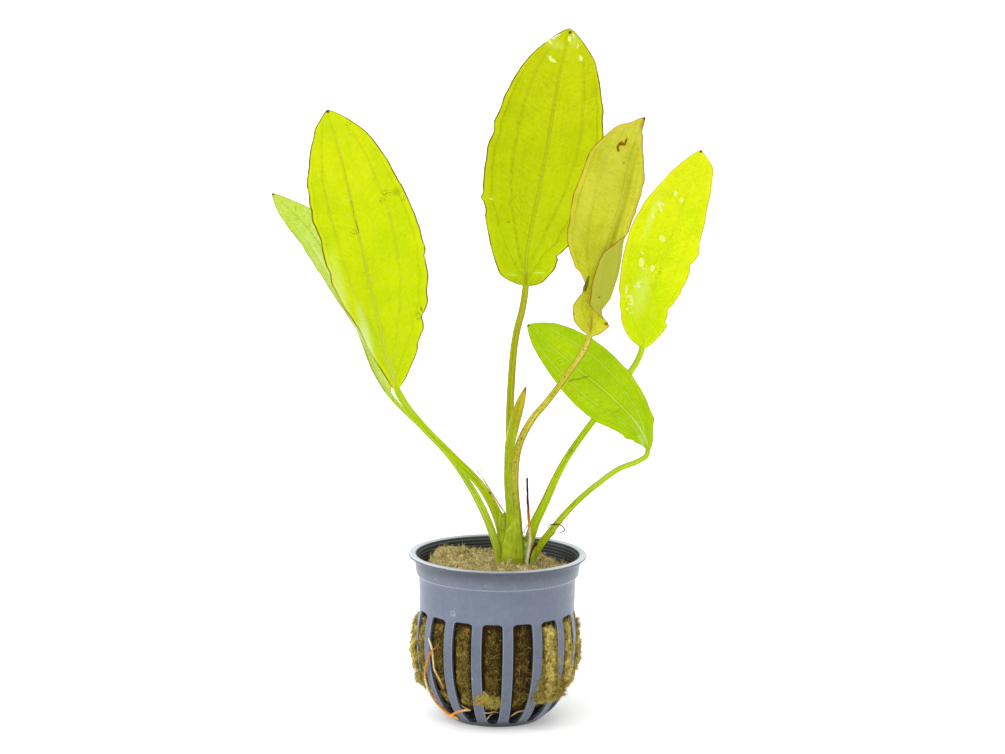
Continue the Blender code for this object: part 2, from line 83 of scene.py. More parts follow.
# Rows of faces between one row of POT_WALL and the next.
WALL_STEPS = (3, 6, 7, 8, 8, 8, 6, 5, 4, 6, 6, 4, 16, 6, 3, 3, 3)
TOOL_RING_PITCH = 0.95          # the fine rings that the mould left inside the collar
TOOL_RING_DEPTH = 0.10
TOOL_RING_BAND = (45.4, 46.2, 50.2, 50.9)       # heights: they start, are full, fade, and are gone
# Marks of dried drops: turn from the front in degrees, height, radius of the ring, strength.
DROP_MARKS = ((-34.0, 37.0, 0.75, 0.28), (-33.0, 36.6, 0.45, 0.18), (-17.5, 17.5, 0.12, 0.45),
              (23.0, 29.0, 0.10, 0.3), (-8.0, 46.8, 0.2, 0.2), (-48.0, 47.0, 0.15, 0.3))

# ---- rock wool -----------------------------------------------------------------------------
# Levels of the wool's side, by which its swelling is placed.
WOOL_HEIGHTS = (6.2, 8.6, 13.0, 19.0, 26.0, 32.6, 33.0, 40.0, 45.2)
WOOL_EDGE = WOOL_HEIGHTS[-1]
WOOL_TOP = 46.9
SEAT_CENTRE = (5.5, 0.5)        # of the hollow that the crown sits in
WOOL_COLUMNS = 400
WOOL_SIDE_ROWS = 96
FIBRE_POINTS = 9                # three rings of three
# Mounds and hollows of the top: place in X and Y, rise, radius.
WOOL_MOUNDS = (
    (3.0, -8.2, 2.5, 3.2), (7.6, -7.4, 1.6, 3.0), (10.8, -5.6, 1.5, 2.5), (0.2, -5.0, 1.5, 2.4),
    (-18.5, 11.0, 3.9, 6.0), (-12.0, 15.5, 1.9, 5.0), (-20.5, 1.0, 2.4, 4.5),
    (-4.0, 19.0, 1.2, 6.0), (-15.0, -11.0, 1.2, 5.0), (13.5, 8.0, 2.2, 4.0),
    (18.5, 9.0, -1.6, 3.5), (20.0, -4.0, 1.3, 5.0), (9.0, -14.0, 0.9, 5.0),
    (4.0, -9.0, 0.9, 2.2), (-2.0, -6.0, 0.5, 3.0),
)
# How far the wool stands out of each slot beyond the ribs' face, and how much further low down in
# three of them.
TUFT_REACH = (-0.9, 0.9, 0.5, 1.1, 0.8, -0.4, 0.6, 1.0, 0.2, 0.9, 0.4, 1.7, 0.0, -0.5, -0.3, -1.0)
LOW_TUFTS = {1: 1.0, 2: 0.8, 12: 0.8}
# Lumps of wool that hang out over the ribs: turn in degrees, height, radius of the middle,
# half-sizes round the pot, upwards and outwards, lean in degrees.
TUFTS = (
    (41.5, 21.0, 22.9, 2.9, 7.5, 1.0, 4), (48.0, 22.0, 23.5, 1.4, 7.5, 0.9, -6),
    (38.0, 12.4, 21.7, 3.2, 3.2, 1.4, 0), (46.0, 12.8, 21.9, 3.0, 3.2, 1.5, 0),
    (57.0, 13.0, 21.9, 2.5, 3.4, 1.8, 0), (88.0, 24.0, 23.6, 1.8, 7.0, 1.4, 0),
    (-97.0, 24.0, 23.8, 2.2, 7.0, 1.9, 0), (-86.0, 12.5, 22.0, 2.6, 2.6, 2.1, 0),
    (-7.0, 11.2, 21.2, 3.1, 2.0, 1.5, 8), (-1.0, 10.6, 21.0, 1.8, 1.6, 1.2, 0),
)

# ---- leaves --------------------------------------------------------------------------------
ROOT_OF_STALK = 46.0
STALK_ROWS = 64
BLADE_ROWS = 132
STALK_FLATNESS = 0.78
TURN_ROWS = 5                   # rows to each side over which a leaf's direction is averaged
VEIN_RISE = 0.6                 # a side vein on the seen face, as a share of that below
FOLD_TURN = 2.9                 # radians that a margin turns where it is folded over
# Places across half a blade, midrib 0 to margin 1, closer at the midrib, veins and margin.
HALF_PLACES = np.array((
    0, .012, .028, .05, .08, .12, .17, .22, .27, .32, .37, .42, .47, .52, .55, .575, .595, .615,
    .64, .68, .72, .76, .80, .84, .87, .89, .92, .95, .97, .985, .995, 1.0))
VEIN_LEVELS = ((0.60, 0.17), (0.88, 0.10))      # share of the half-width; share of the length it
                                                # takes a vein to part from the midrib
FAINT_VEIN = 0.17               # the outer side vein counts as this much further off
CREST_RADIUS = 0.75             # of the bend where a margin is folded over

# Leaves. path: points from foot to tip, and blade_from: which of them the blade starts at.
# stalk: its widths from foot to blade. left, right: the blade's half-widths from base to tip.
# base_power: high where the base is blunt. bumps of the margin: side (1 right, -1 left), place as
# a share of the blade, height, and length as a share of the blade. face: the way that the seen
# face looks, at foot and tip. fold: slope of each half at the midrib. waves: number and height of
# the margin's waves. ruffle: height of its crinkles. merge: share of the blade in which the stalk
# turns into it. folded: width of the right half that is folded over to the front, base to tip.
LEAVES = {
    "leaf_left": dict(
        path=((2.6, 2.2, ROOT_OF_STALK), (2.5, 2.2, 50), (1.5, 2, 58), (-1.3, 1, 65.5),
            (-5, -0.5, 72), (-15.1, -4, 83.3), (-22.8, -8, 92.1), (-31.0, -14, 104.6),
            (-32.7, -16.5, 110.4), (-37.6, -23, 132), (-43.1, -27, 156.7), (-47.7, -28, 176.6),
            (-51.8, -26, 189.7)),
        left=(0.8, 3.0, 5.4, 7.6, 10.4, 11.6, 11.8, 12.5, 11.2, 7.7, 0.1),
        right=(0.8, 7.8, 11.9, 15.2, 17.6, 18.3, 17.7, 15.8, 13.0, 9.0, 0.1),
        bumps=((1, .035, 0.2, .02), (1, .16, -0.3, .015), (1, .211, 0.3, .012),
            (1, .252, -0.8, .012), (1, .30, 0.2, .02), (1, .385, 0.2, .02), (1, .460, -0.4, .010),
            (1, .55, 0.2, .02), (1, .726, -0.3, .012), (-1, .245, -0.4, .03), (-1, .335, 0.3, .02),
            (-1, .43, 0.3, .015), (-1, .47, -0.3, .012), (-1, .585, -0.5, .02),
            (-1, .655, 0.3, .018), (-1, .69, -0.3, .012), (-1, .776, 0.3, .018),
            (-1, .95, 0.5, .02)),
        blade_from=7, stalk=(3.6, 4.0, 2.9, 2.5, 2.4, 2.1, 1.9, 2.3), base_power=1.15,
        face=((0, -1, 0.1), (0.1, -1, 0.1)), fold=0.10, waves=(6.5, 0.5), ruffle=0.32),
    "leaf_left_rear": dict(
        path=((0.5, -2, ROOT_OF_STALK), (0.4, -2, 50), (-1.5, -2, 57.5), (-4.6, -1, 65),
            (-8, 1, 71), (-15.8, 6, 81), (-22.1, 10, 86.7), (-34.4, 17, 98), (-39.1, 20, 104.8),
            (-44.7, 27, 119), (-51.1, 33, 132), (-60.2, 38, 145.6), (-72.5, 41, 157.4)),
        left=(1.0, 0.9, 0.9, 2.2, 5.1, 7.5, 8.8, 9.1, 8.3, 6.2, 0.1),
        right=(0.8, 4.0, 7.4, 10.4, 12.4, 13.2, 12.8, 10.7, 7.3, 4.0, 0.1),
        blade_from=7, stalk=(2.3, 2.5, 2.4, 1.9, 1.5, 1.3, 1.6),
        face=((.35, -1, 0.1), (1.0, -.75, 0.2)), fold=0.22, waves=(5.5, 0.1), ruffle=0.06),
    "leaf_tall": dict(
        path=((4.8, 5.5, ROOT_OF_STALK), (4.8, 5.5, 49), (4.2, 5.5, 61), (3.4, 6, 79.3),
            (3.4, 8, 101), (5.1, 11, 119.5), (6.6, 12.5, 125.5), (7.6, 14, 132.7), (7.8, 17, 142),
            (10.2, 22, 155), (13.4, 27, 172), (16.8, 31, 193.5), (20.3, 31, 211)),
        left=(0.9, 10.2, 14.0, 17.2, 18.1, 18.5, 17.5, 15.9, 13.3, 8.7, 0.1),
        right=(0.9, 9.7, 12.1, 13.7, 15.5, 16.5, 16.9, 15.6, 13.4, 9.9, 0.1),
        bumps=((-1, .04, 0.7, .025), (-1, .30, 0.4, .012), (-1, .32, -0.3, .012),
            (-1, .25, -0.4, .02), (-1, .56, -0.4, .02), (-1, .61, 0.3, .02), (1, .064, 0.6, .02),
            (1, .125, -1.0, .012), (1, .18, 0.7, .020), (1, .235, -0.5, .02), (1, .36, 0.4, .04)),
        blade_from=7, stalk=(2.8, 2.5, 2.4, 2.2, 2.0), base_power=2.8,
        face=((0, -1, 0.1), (.05, -1, .15)), fold=0.10, waves=(7.5, 0.6), ruffle=0.22),
    "leaf_brown_edged": dict(
        path=((6.3, -2, ROOT_OF_STALK), (6.2, -2, 50), (5.7, -2.4, 62.4), (4.8, -3.2, 75.5),
            (5.7, -3.8, 84.8), (9.6, -6.8, 94.2), (14.3, -11, 101.0), (19.3, -15.5, 108.8),
            (26.6, -21, 123), (27.1, -23, 129.4), (27.6, -24.5, 135), (30.5, -27.5, 148),
            (34.6, -30, 163.4), (37.8, -30, 178), (41.6, -26, 188.8)),
        left=(0.9, 5.3, 6.2, 3.5, 5.3, 9.5, 11.9, 13.1, 13.9, 14.1, 13.7, 13.1, 11.9, 9.3, 6.5,
            0.1),
        right=(1.0, 6.0, 3.3, 5.6, 6.2, 6.2, 5.7, 5.0, 4.8, 5.5, 6.0, 5.9, 4.7, 2.6, 0.6, 0.1),
        bumps=((-1, .237, -1.0, .016), (-1, .292, 0.6, .015), (-1, .96, -1.2, .03),
            (-1, .45, 0.2, .01), (-1, .62, 0.2, .012), (1, .105, -0.8, .018), (1, .60, 0.2, .01),
            (1, .68, 0.2, .015)),
        folded=(0, 0, 0, 1.6, 4.9, 6.0, 6.6, 6.9, 6.8, 6.5, 5.6, 3.0, 1.2, 0.4, 0, 0, 0, 0, 0, 0, 0,
            0, 0, 0, 0, 0),
        blade_from=8, stalk=(4.4, 2.8, 2.3, 1.9, 1.9), base_power=1.5,
        face=((0, -1, 0.1), (-.25, -1, 0.1)), fold=0.30, waves=(5.0, 0.8), ruffle=0.2),
    "leaf_right": dict(
        path=((8.9, 2.2, ROOT_OF_STALK), (9.1, 2.2, 51), (10.9, 3.6, 59), (14, 6.5, 65.4),
            (20.0, 11, 77.6), (29.1, 16, 90.3), (37.7, 19.5, 101), (44.3, 22.5, 112.6),
            (44.8, 23.5, 116.4), (47.5, 26, 128.6), (52, 28.5, 142.5), (56.7, 30, 156.5),
            (61.6, 28, 174)),
        left=(0.9, 7.7, 10.0, 12.0, 13.1, 13.6, 13.3, 11.8, 9.0, 5.8, 0.1),
        right=(0.9, 6.0, 6.0, 8.0, 8.7, 9.0, 8.5, 7.6, 6.9, 5.8, 0.1),
        bumps=((-1, .17, 0.2, .01), (-1, .215, -0.4, .015), (-1, .25, 0.2, .01),
            (1, .126, 0.6, .014), (1, .15, -0.3, .012), (1, .21, -0.5, .02), (1, .30, 0.2, .012),
            (1, .455, -0.7, .016), (1, .52, 0.5, .02), (1, .94, 0.9, .03)),
        blade_from=7, stalk=(2.2, 3.2, 2.7, 2.2, 2.0, 1.9, 1.9, 1.9), base_power=1.8,
        face=((0, -1, 0.1), (.1, -1, .2)), fold=0.10, waves=(6.5, 0.6), ruffle=0.25),
    "leaf_bent": dict(
        path=((9.6, -1, ROOT_OF_STALK), (10.7, -1, 50), (12.7, -1.7, 54), (15.2, -3, 57.8),
            (19.3, -5.5, 63.8), (24.6, -8.5, 70.4), (30.3, -11.5, 76.1), (36.6, -14.5, 81.4),
            (42.2, -17, 84.3), (44.4, -17, 85.8), (44.9, -16, 87.7), (43.1, -13, 92.3),
            (34.1, -6, 101.7), (23, -0.5, 110), (14.6, 3, 116.4), (8.2, 5, 122)),
        left=(0.7, 4.6, 6.4, 8.2, 9.3, 9.3, 8.5, 7.1, 5.5, 3.6, 0.1),
        right=(0.7, 3.7, 6.2, 8.1, 9.3, 9.9, 10.2, 9.8, 8.5, 6.0, 0.1),
        bumps=((-1, .34, 0.4, .03), (-1, .115, 0.5, .02), (-1, .085, -0.4, .012),
            (1, .14, 0.5, .02)),
        blade_from=10, stalk=(2.2, 2.5, 2.0, 1.8, 1.7, 1.6, 1.5), base_power=1.1,
        face=((0, -1, 0.1), (.05, -1, .3)), fold=0.08, waves=(3.5, 0.3), ruffle=0.12),
    "young_leaf": dict(
        path=((3.9, -5.5, ROOT_OF_STALK), (4.1, -5.5, 50), (3.9, -5.5, 62.3), (2.8, -5.6, 77.8),
            (3.3, -6.2, 87.1), (4.5, -6.6, 93.4), (5.9, -6.8, 99.4), (7.9, -6.8, 104.7)),
        left=(1.3, 1.5, 1.7, 1.8, 1.8, 1.8, 1.7, 1.6, 1.3, 0.9, 0.12),
        right=(1.2, 1.4, 1.6, 1.7, 1.8, 1.8, 1.8, 1.9, 1.8, 1.2, 0.12),
        blade_from=3, stalk=(4.8, 4.2, 3.0, 2.5, 2.4), face=((0, -1, 0.1), (.1, -1, 0.1)),
        fold=0.45, waves=(1.0, 0.0), ruffle=0.0, merge=0.5),
}
# Water left on the leaves: leaf, share of the blade's length, share of its half-width (left is
# negative), half the drop's length and half its width, turn in degrees from the midrib.
DROPS = (
    ("leaf_right", .680, -.62, 1.2, .6, 40), ("leaf_right", .665, -.52, 1.0, .6, 20),
    ("leaf_right", .531, -.23, 1.3, .9, 60), ("leaf_right", .760, -.36, 1.2, .6, 10),
    ("leaf_right", .736, -.10, 0.9, .7, 0), ("leaf_right", .617, -.64, 1.0, .6, 30),
    ("leaf_right", .385, -.50, 1.6, 1.0, 15), ("leaf_right", .378, -.21, 1.1, .8, 0),
    ("leaf_right", .284, -.45, 1.4, .7, 30), ("leaf_right", .215, -.66, 1.5, .7, 30),
    ("leaf_tall", .871, -.31, 1.5, .6, 70), ("leaf_tall", .959, .13, 1.0, .6, 20),
    ("leaf_tall", .933, -.85, 1.2, .5, 50), ("leaf_tall", .90, .55, .8, .6, 0),
)

# ---- crown, dead stalk, roots and threads ----------------------------------------------------
CROWN_PLACE = (6.1, 1.8)
CROWN_OUTLINE = ((1.1, 46.0), (1.3, 47.0), (1.25, 50.0), (0.9, 53.0), (0.5, 55.0))
CROWN_TOP = 55.2
CROWN_GRID = 24                 # rows and columns
SHEATH_GRID = (40, 17)
SHEATH_HALF_SKIN = 0.11
DROP_GRID = (6, 16)
# Thin sheaths that join the feet of the stalks: middle of the foot, half-width at foot and tip,
# height of the foot and of the tip, shift of the tip sideways, dip of the tip's middle, how far
# the tip sinks in between the stalks, way it faces in degrees, how pale it is.
SHEATHS = (
    ((4.5, -5.9), 3.6, 0.3, 46.2, 69.0, 0.5, 0.0, 3.8, 0, 0.0),
    ((2.0, -0.2), 2.3, 0.9, 46.2, 65.0, -0.6, 0.6, 0.0, -8, 0.0),
    ((8.0, -2.6), 1.4, 0.7, 46.2, 57.2, 0.5, 1.2, 0.0, 10, 0.35),
    ((9.9, -1.6), 1.1, 0.6, 46.2, 54.5, 0.9, 0.3, 0.0, 20, 0.1),
)
DEAD_STALK_PATH = ((8.7, -4.2, ROOT_OF_STALK), (8.9, -4.2, 50), (9.8, -4, 56),
                   (9.4, -3.8, 62.7), (9.0, -3.4, 69), (8.7, -3, 75.7))
STRAND_GRID = (12, 110)         # points round and rows along a root or the dead stalk
THREAD_GRID = (6, 50)
# Fine dry threads and rootlets: path, radius and colours from start to end.
THREADS = (
    (((-5.8, -1.2, 77.0), (-4.5, -1.2, 74.6), (-2.9, -1.2, 72), (-1.2, -1.2, 69.3),
      (0.8, -1.2, 66.2), (2.2, -1.2, 64.2), (2.9, -1.6, 62)), 0.27,
     ((0.0, "#f6ecd0"), (0.25, "#d09c5c"), (0.7, "#cc9458"), (1.0, "#f4ecd6"))),
    (((-5.4, 0, 76.2), (-6.4, 0, 76.7), (-6.5, 0, 77.5), (-5.6, 0, 77.3), (-4.7, 0, 76.4)), 0.12,
     ((0.0, "#c99a58"), (1.0, "#d8b070"))),
    (((15.3, -6.4, 60.9), (15.7, -6.5, 61.8), (17.7, -6.5, 62.1), (19.6, -6.5, 61.6),
      (20.3, -6.5, 60.4), (19.0, -6.5, 59.5), (17.8, -6.5, 58.9)), 0.20,
     ((0.0, "#4a2a14"), (1.0, "#5e4432"))),
    (((15.4, -6.3, 57.2), (16.6, -6.3, 58.6), (18.2, -6.2, 60.2)), 0.12,
     ((0.0, "#6b3a14"), (1.0, "#5e4432"))),
    (((7.2, 0, 56.4), (8.0, 0, 58.5), (8.9, 0, 60.1), (9.8, 0, 61.8)), 0.13,
     ((0.0, "#f2f4ee"), (1.0, "#e8ece4"))),
    (((7.8, 0, 56.6), (8.6, 0, 59.1), (9.6, 0, 61.2)), 0.09, ((0.0, "#c8cdc4"), (1.0, "#e8ece4"))),
    (((12.4, -1.9, 55.2), (11.2, -3.0, 54.6), (10.5, -3.3, 53.1), (9.9, -3.3, 51.2),
      (9.7, -3.4, 49.2)), 0.40, ((0.0, "#3a2010"), (0.6, "#7a4414"), (1.0, "#2a1608"))),
    (((13.4, 1.0, 52.2), (14.4, 1.8, 50.8), (15.6, 2.2, 50.0)), 0.20,
     ((0.0, "#6b4a1c"), (1.0, "#8a6a30"))),
    (((-14.5, -17.0, 3.2), (-13.6, -18.2, 4.5), (-11.7, -19.6, 6.1), (-9.7, -20.0, 6.8),
      (-7.6, -19.6, 6.7)), 0.42,
     ((0.0, "#e2b066"), (0.5, "#d98f34"), (1.0, "#e8c88c"))),
    (((-4.9, -19.0, 6.6), (-2.6, -19.6, 5.9), (-0.5, -19.4, 6.3), (1.6, -18.6, 5.6)), 0.2,
     ((0.0, "#d8c79a"), (1.0, "#a88f5c"))),
    (((-2.7, -17.6, 3.3), (-1.8, -18.2, 4.7), (-0.8, -18.8, 5.7)), 0.13,
     ((0.0, "#e8dfc4"), (1.0, "#c7b284"))),
    (((4.6, -17.4, 4.4), (6.5, -18.0, 5.9), (9.6, -17.4, 6.4), (11.4, -16.2, 6.2)), 0.3,
     ((0.0, "#b99a6a"), (1.0, "#8d6a3c"))),
    (((-12.4, -15.2, 9.0), (-10.0, -16.0, 6.9), (-7.8, -16.6, 6.0)), 0.24,
     ((0.0, "#eee2c2"), (1.0, "#d9b878"))),
    (((-13.6, -13.4, 6.4), (-12.0, -13.6, 4.6), (-9.6, -14.2, 3.6)), 0.16,
     ((0.0, "#e6d9b8"), (1.0, "#cfae74"))),
)
# Roots that left through a slot: turn from the front in degrees, distance out from the ribs'
# face, height.
ROOT_BROWN_ROUTE = ((-43, 1.0, 26.5), (-47, 1.8, 25), (-53.5, 1.5, 21), (-60, 0.9, 17.5),
                    (-63.5, 0.9, 14), (-63, 0.9, 9.5), (-57, 0.9, 6), (-49, 0.9, 3.2),
                    (-41, 1.0, 2.2))
ROOT_CREAM_ROUTE = ((-54, 0.9, 28), (-50.5, 0.75, 25.2), (-49.5, 0.75, 21.8),
                    (-48.3, 0.8, 18.7), (-45, 0.8, 16), (-41.5, 0.8, 13))

# ---- stage -----------------------------------------------------------------------------------
FLOOR_REACH = 20                # metres from the plant to the floor's edges
CAMERA_LENS = 118.9
CAMERA_PLACE = (2.152, -1000.0, 274.03)
CAMERA_TILT = 0.166             # radians down from level
CAMERA_LEAN = -0.013            # radians off upright


# ---- small tools -----------------------------------------------------------------------------
def linear(colour):
    """Linear RGBA of an sRGB hex colour such as #8a93a3, or of a property's sRGB triple."""
    if isinstance(colour, str):
        colour = [int(colour[i:i + 2], 16) / 255 for i in (1, 3, 5)]
    value = np.array(colour[:3], dtype=float)
    value = np.where(value <= 0.04045, value / 12.92, ((value + 0.055) / 1.055) ** 2.4)
    return (*value.tolist(), 1.0)


def smoothstep(low, high, value):
    """0 below low and 1 above high, with an even S-curve between them."""
    share = np.clip((value - low) / (high - low), 0.0, 1.0)
    return share * share * (3 - 2 * share)


def ripple(points, length, seed):
    """Soft random relief of unit spread: a sum of plane waves of random direction and phase,
    whose lengths lie near the given one."""
    draw = np.random.default_rng(seed)
    ways = draw.normal(size=(RIPPLE_WAVES, points.shape[-1]))
    ways *= (2 * math.pi / (length * draw.uniform(0.7, 1.5, RIPPLE_WAVES))
             / np.linalg.norm(ways, axis=1))[:, None]
    phases = draw.uniform(0, 2 * math.pi, RIPPLE_WAVES)
    return np.sin(points @ ways.T + phases).sum(axis=-1) / math.sqrt(RIPPLE_WAVES / 2)


def unit(vectors):
    """Vectors scaled to length 1."""
    return vectors / np.maximum(np.linalg.norm(vectors, axis=-1, keepdims=True), 1e-12)


# A node's kind may carry one of its settings after a dot, as in Math.MULTIPLY.
NODE_MODES = {"Math": "operation", "VectorMath": "operation", "MapRange": "interpolation_type",
              "Mix": "blend_type"}


def add_node(tree, kind, *inputs, **settings):
    """Add a shader node; a Mix mixes colours. Inputs fill its shown sockets in order: a node or
    socket is linked, None is left alone and anything else is set. Settings are the node's own,
    or inputs by name."""
    kind, _, mode = kind.partition(".")
    node = tree.nodes.new("ShaderNode" + kind)
    if kind == "Mix":
        node.data_type = "RGBA"
    if mode:
        setattr(node, NODE_MODES[kind], mode)
    named = {}
    for key, value in settings.items():
        if key in node.bl_rna.properties:
            setattr(node, key, value)
        else:
            named[key.replace("_", " ")] = value
    shown = [socket for socket in node.inputs if socket.enabled]
    pairs = list(zip(shown, inputs)) + [(node.inputs[key], value) for key, value in named.items()]
    for socket, value in pairs:
        if isinstance(value, bpy.types.Node):
            value = next(output for output in value.outputs if output.enabled)
        if isinstance(value, bpy.types.NodeSocket):
            tree.links.new(value, socket)
        elif value is not None:
            socket.default_value = value
    return node


def start_material(name):
    """An empty material, the function that adds a node to it, and its Object coordinates."""
    material = bpy.data.materials.new(name)
    material.use_nodes = True
    material.node_tree.nodes.clear()
    add = partial(add_node, material.node_tree)
    return material, add, add("TexCoord").outputs["Object"]


def grid_quads(rows, columns):
    """Quads over a grid of points whose last column joins its first."""
    row = np.arange(rows - 1)[:, None] * columns
    column = np.arange(columns)[None, :]
    after = (column + 1) % columns
    quads = [row + column, row + after, row + columns + after, row + columns + column]
    return np.stack(quads, axis=-1).reshape(-1, 4)


def fan(centre, first, count):
    """Triangles from one centre point to a ring of count points."""
    step = np.arange(count)
    return np.stack([np.full(count, centre), first + step, first + (step + 1) % count], axis=1)


def closed_grid(grid, ends):
    """A ring grid that closes on a point at each end: points, quads and triangles."""
    rows, columns = grid.shape[:2]
    count = rows * columns
    triangles = np.concatenate([fan(count, 0, columns)[:, ::-1],
                                fan(count + 1, count - columns, columns)])
    points = np.concatenate([grid.reshape(-1, 3), ends])
    return points, grid_quads(rows, columns), triangles


def make_piece(name, points, quads, triangles, material, slot, nodes=(), values=None, uv=None,
               sharp=None):
    """A finished piece from millimetre points, on the plant's one body.

    The mesh is turned outwards by the sign of its volume, the sum over its faces of the triple
    product of their corners. values are numbers for each point, kept as named attributes."""
    points = np.asarray(points, dtype=float).reshape(-1, 3)
    quads = np.asarray(quads, dtype=int).reshape(-1, 4)
    triangles = np.asarray(triangles, dtype=int).reshape(-1, 3)
    corners = np.concatenate([quads[:, [0, 1, 2]], quads[:, [0, 2, 3]], triangles])
    a, b, c = (points[corners[:, i]] - points.mean(axis=0) for i in range(3))
    if np.einsum("ij,ij->i", a, np.cross(b, c)).sum() < 0:
        quads, triangles = quads[:, ::-1], triangles[:, ::-1]
    mesh = bpy.data.meshes.new(name)
    mesh.from_pydata((points * MM).tolist(), [], quads.tolist() + triangles.tolist())
    mesh.shade_smooth()
    if sharp is not None:
        mesh.set_sharp_from_angle(angle=math.radians(sharp))
    for key, value in (values or {}).items():
        spread = np.broadcast_to(value, (len(points),)).astype(np.float32)
        mesh.attributes.new(key, "FLOAT", "POINT").data.foreach_set("value", spread)
    if uv is not None:
        corner = np.empty(len(mesh.loops), dtype=np.int32)
        mesh.loops.foreach_get("vertex_index", corner)
        mesh.uv_layers.new(name="UVMap").data.foreach_set("uv", uv[corner].ravel())
    mesh.materials.append(material)
    piece = bpy.data.objects.new(name, mesh)
    bpy.context.scene.collection.objects.link(piece)
    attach(piece, BODY)
    if nodes:
        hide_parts(*nodes)
    return piece


def smooth_curve(points, fractions):
    """A smooth curve through the points, read at fractions of its length, and the fractions at
    which it meets the points. Cubic arcs join the points with the slopes that their neighbours
    give."""
    points = np.asarray(points, dtype=float)
    knots = np.concatenate(([0.0], np.cumsum(np.linalg.norm(np.diff(points, axis=0), axis=1))))
    slopes = np.gradient(points, knots, axis=0)
    fine = np.linspace(0.0, knots[-1], 40 * len(points))
    part = np.clip(np.searchsorted(knots, fine, side="right") - 1, 0, len(knots) - 2)
    span = (knots[part + 1] - knots[part])[:, None]
    t = (fine - knots[part])[:, None] / span
    curve = ((2 * t**3 - 3 * t**2 + 1) * points[part] + (t**3 - 2 * t**2 + t) * span * slopes[part]
             + (3 * t**2 - 2 * t**3) * points[part + 1] + (t**3 - t**2) * span * slopes[part + 1])
    length = np.concatenate(([0.0], np.cumsum(np.linalg.norm(np.diff(curve, axis=0), axis=1))))
    wanted = np.asarray(fractions) * length[-1]
    places = np.stack([np.interp(wanted, length, curve[:, axis]) for axis in range(3)], axis=1)
    return places, np.interp(knots, fine, length) / length[-1]


def place_on_circle(radius, angle, height):
    """Points at angles measured from the front (-Y) towards +X."""
    radius, angle, height = np.broadcast_arrays(radius, angle, height)
    return np.stack([radius * np.sin(angle), -radius * np.cos(angle), height], axis=-1)


def facing_axes(degrees):
    """Directions across and outwards at a turn from the front towards +X."""
    turn = math.radians(degrees)
    return (np.array([math.cos(turn), math.sin(turn), 0.0]),
            np.array([math.sin(turn), -math.cos(turn), 0.0]))


def tube_form(path, radii, grid, roughness, seed):
    """Rings of a round tube along a smooth path: centre plus radius times the cosine and sine of
    an angle on two directions square to the path. Its radius runs through the given values, and
    its ends close on a point. Returns points, quads, triangles and each point's share of the way."""
    sides, rows = grid
    share = np.linspace(0, 1, rows)
    curve, _ = smooth_curve(path, share)
    tangent = unit(np.gradient(curve, axis=0))
    side = unit(np.cross(tangent, TUBE_SEAM))
    across = np.cross(tangent, side)
    radius = np.interp(share, np.linspace(0, 1, len(radii)), radii)
    angle = np.arange(sides) * 2 * math.pi / sides
    offset = (np.cos(angle)[None, :, None] * side[:, None]
              + np.sin(angle)[None, :, None] * across[:, None])
    grow = 1 + roughness * ripple(curve[:, None] + offset, 2.5, seed)[..., None]
    ends = np.stack([curve[0] - tangent[0] * radius[0] * 0.6,
                     curve[-1] + tangent[-1] * radius[-1] * 0.6])
    form = closed_grid(curve[:, None] + radius[:, None, None] * offset * grow, ends)
    return *form, np.concatenate([np.repeat(share, sides), [0.0, 1.0]])


def join_forms(forms):
    """Put several forms (points, quads, triangles, value) into one."""
    start = np.cumsum([0] + [len(form[0]) for form in forms])[:-1]
    return (np.concatenate([form[0] for form in forms]),
            np.concatenate([form[1] + first for form, first in zip(forms, start)]),
            np.concatenate([form[2] + first for form, first in zip(forms, start)]),
            np.concatenate([form[3] for form in forms]))


# ---- net pot -----------------------------------------------------------------------------------
def wall_rows():
    """Rows of the pot's wall, finer than POT_WALL: row numbers, and radius and height of both
    skins. The bowl follows one smooth curve through its rows, the collar and the lip run
    straight between theirs, and all corners are eased by averaging neighbours."""
    level = np.concatenate([row + np.arange(steps) / steps for row, steps in enumerate(WALL_STEPS)]
                           + [[len(WALL_STEPS)]])
    rows = np.arange(len(POT_WALL))
    slope = np.gradient(POT_WALL[:BOWL_LAST_ROW + 1], axis=0)
    part = np.minimum(level.astype(int), BOWL_LAST_ROW - 1)
    t = (level - part)[:, None]
    bowl = ((2 * t**3 - 3 * t**2 + 1) * POT_WALL[part] + (t**3 - 2 * t**2 + t) * slope[part]
            + (3 * t**2 - 2 * t**3) * POT_WALL[part + 1] + (t**3 - t**2) * slope[part + 1])
    straight = np.stack([np.interp(level, rows, POT_WALL[:, i]) for i in range(4)], axis=1)
    wall = np.where((level <= BOWL_LAST_ROW)[:, None], bowl, straight)
    for _ in range(2):
        wall[1:-1] = (wall[:-2] + 2 * wall[1:-1] + wall[2:]) / 4
    return level, wall


def inside_radius(height):
    """Inner radius of the pot's wall at a height."""
    return np.interp(height, POT_WALL[:, 3], POT_WALL[:, 2])


def outside_radius(height):
    """Outer radius of the pot's wall at a height."""
    return np.interp(height, POT_WALL[:, 1], POT_WALL[:, 0])


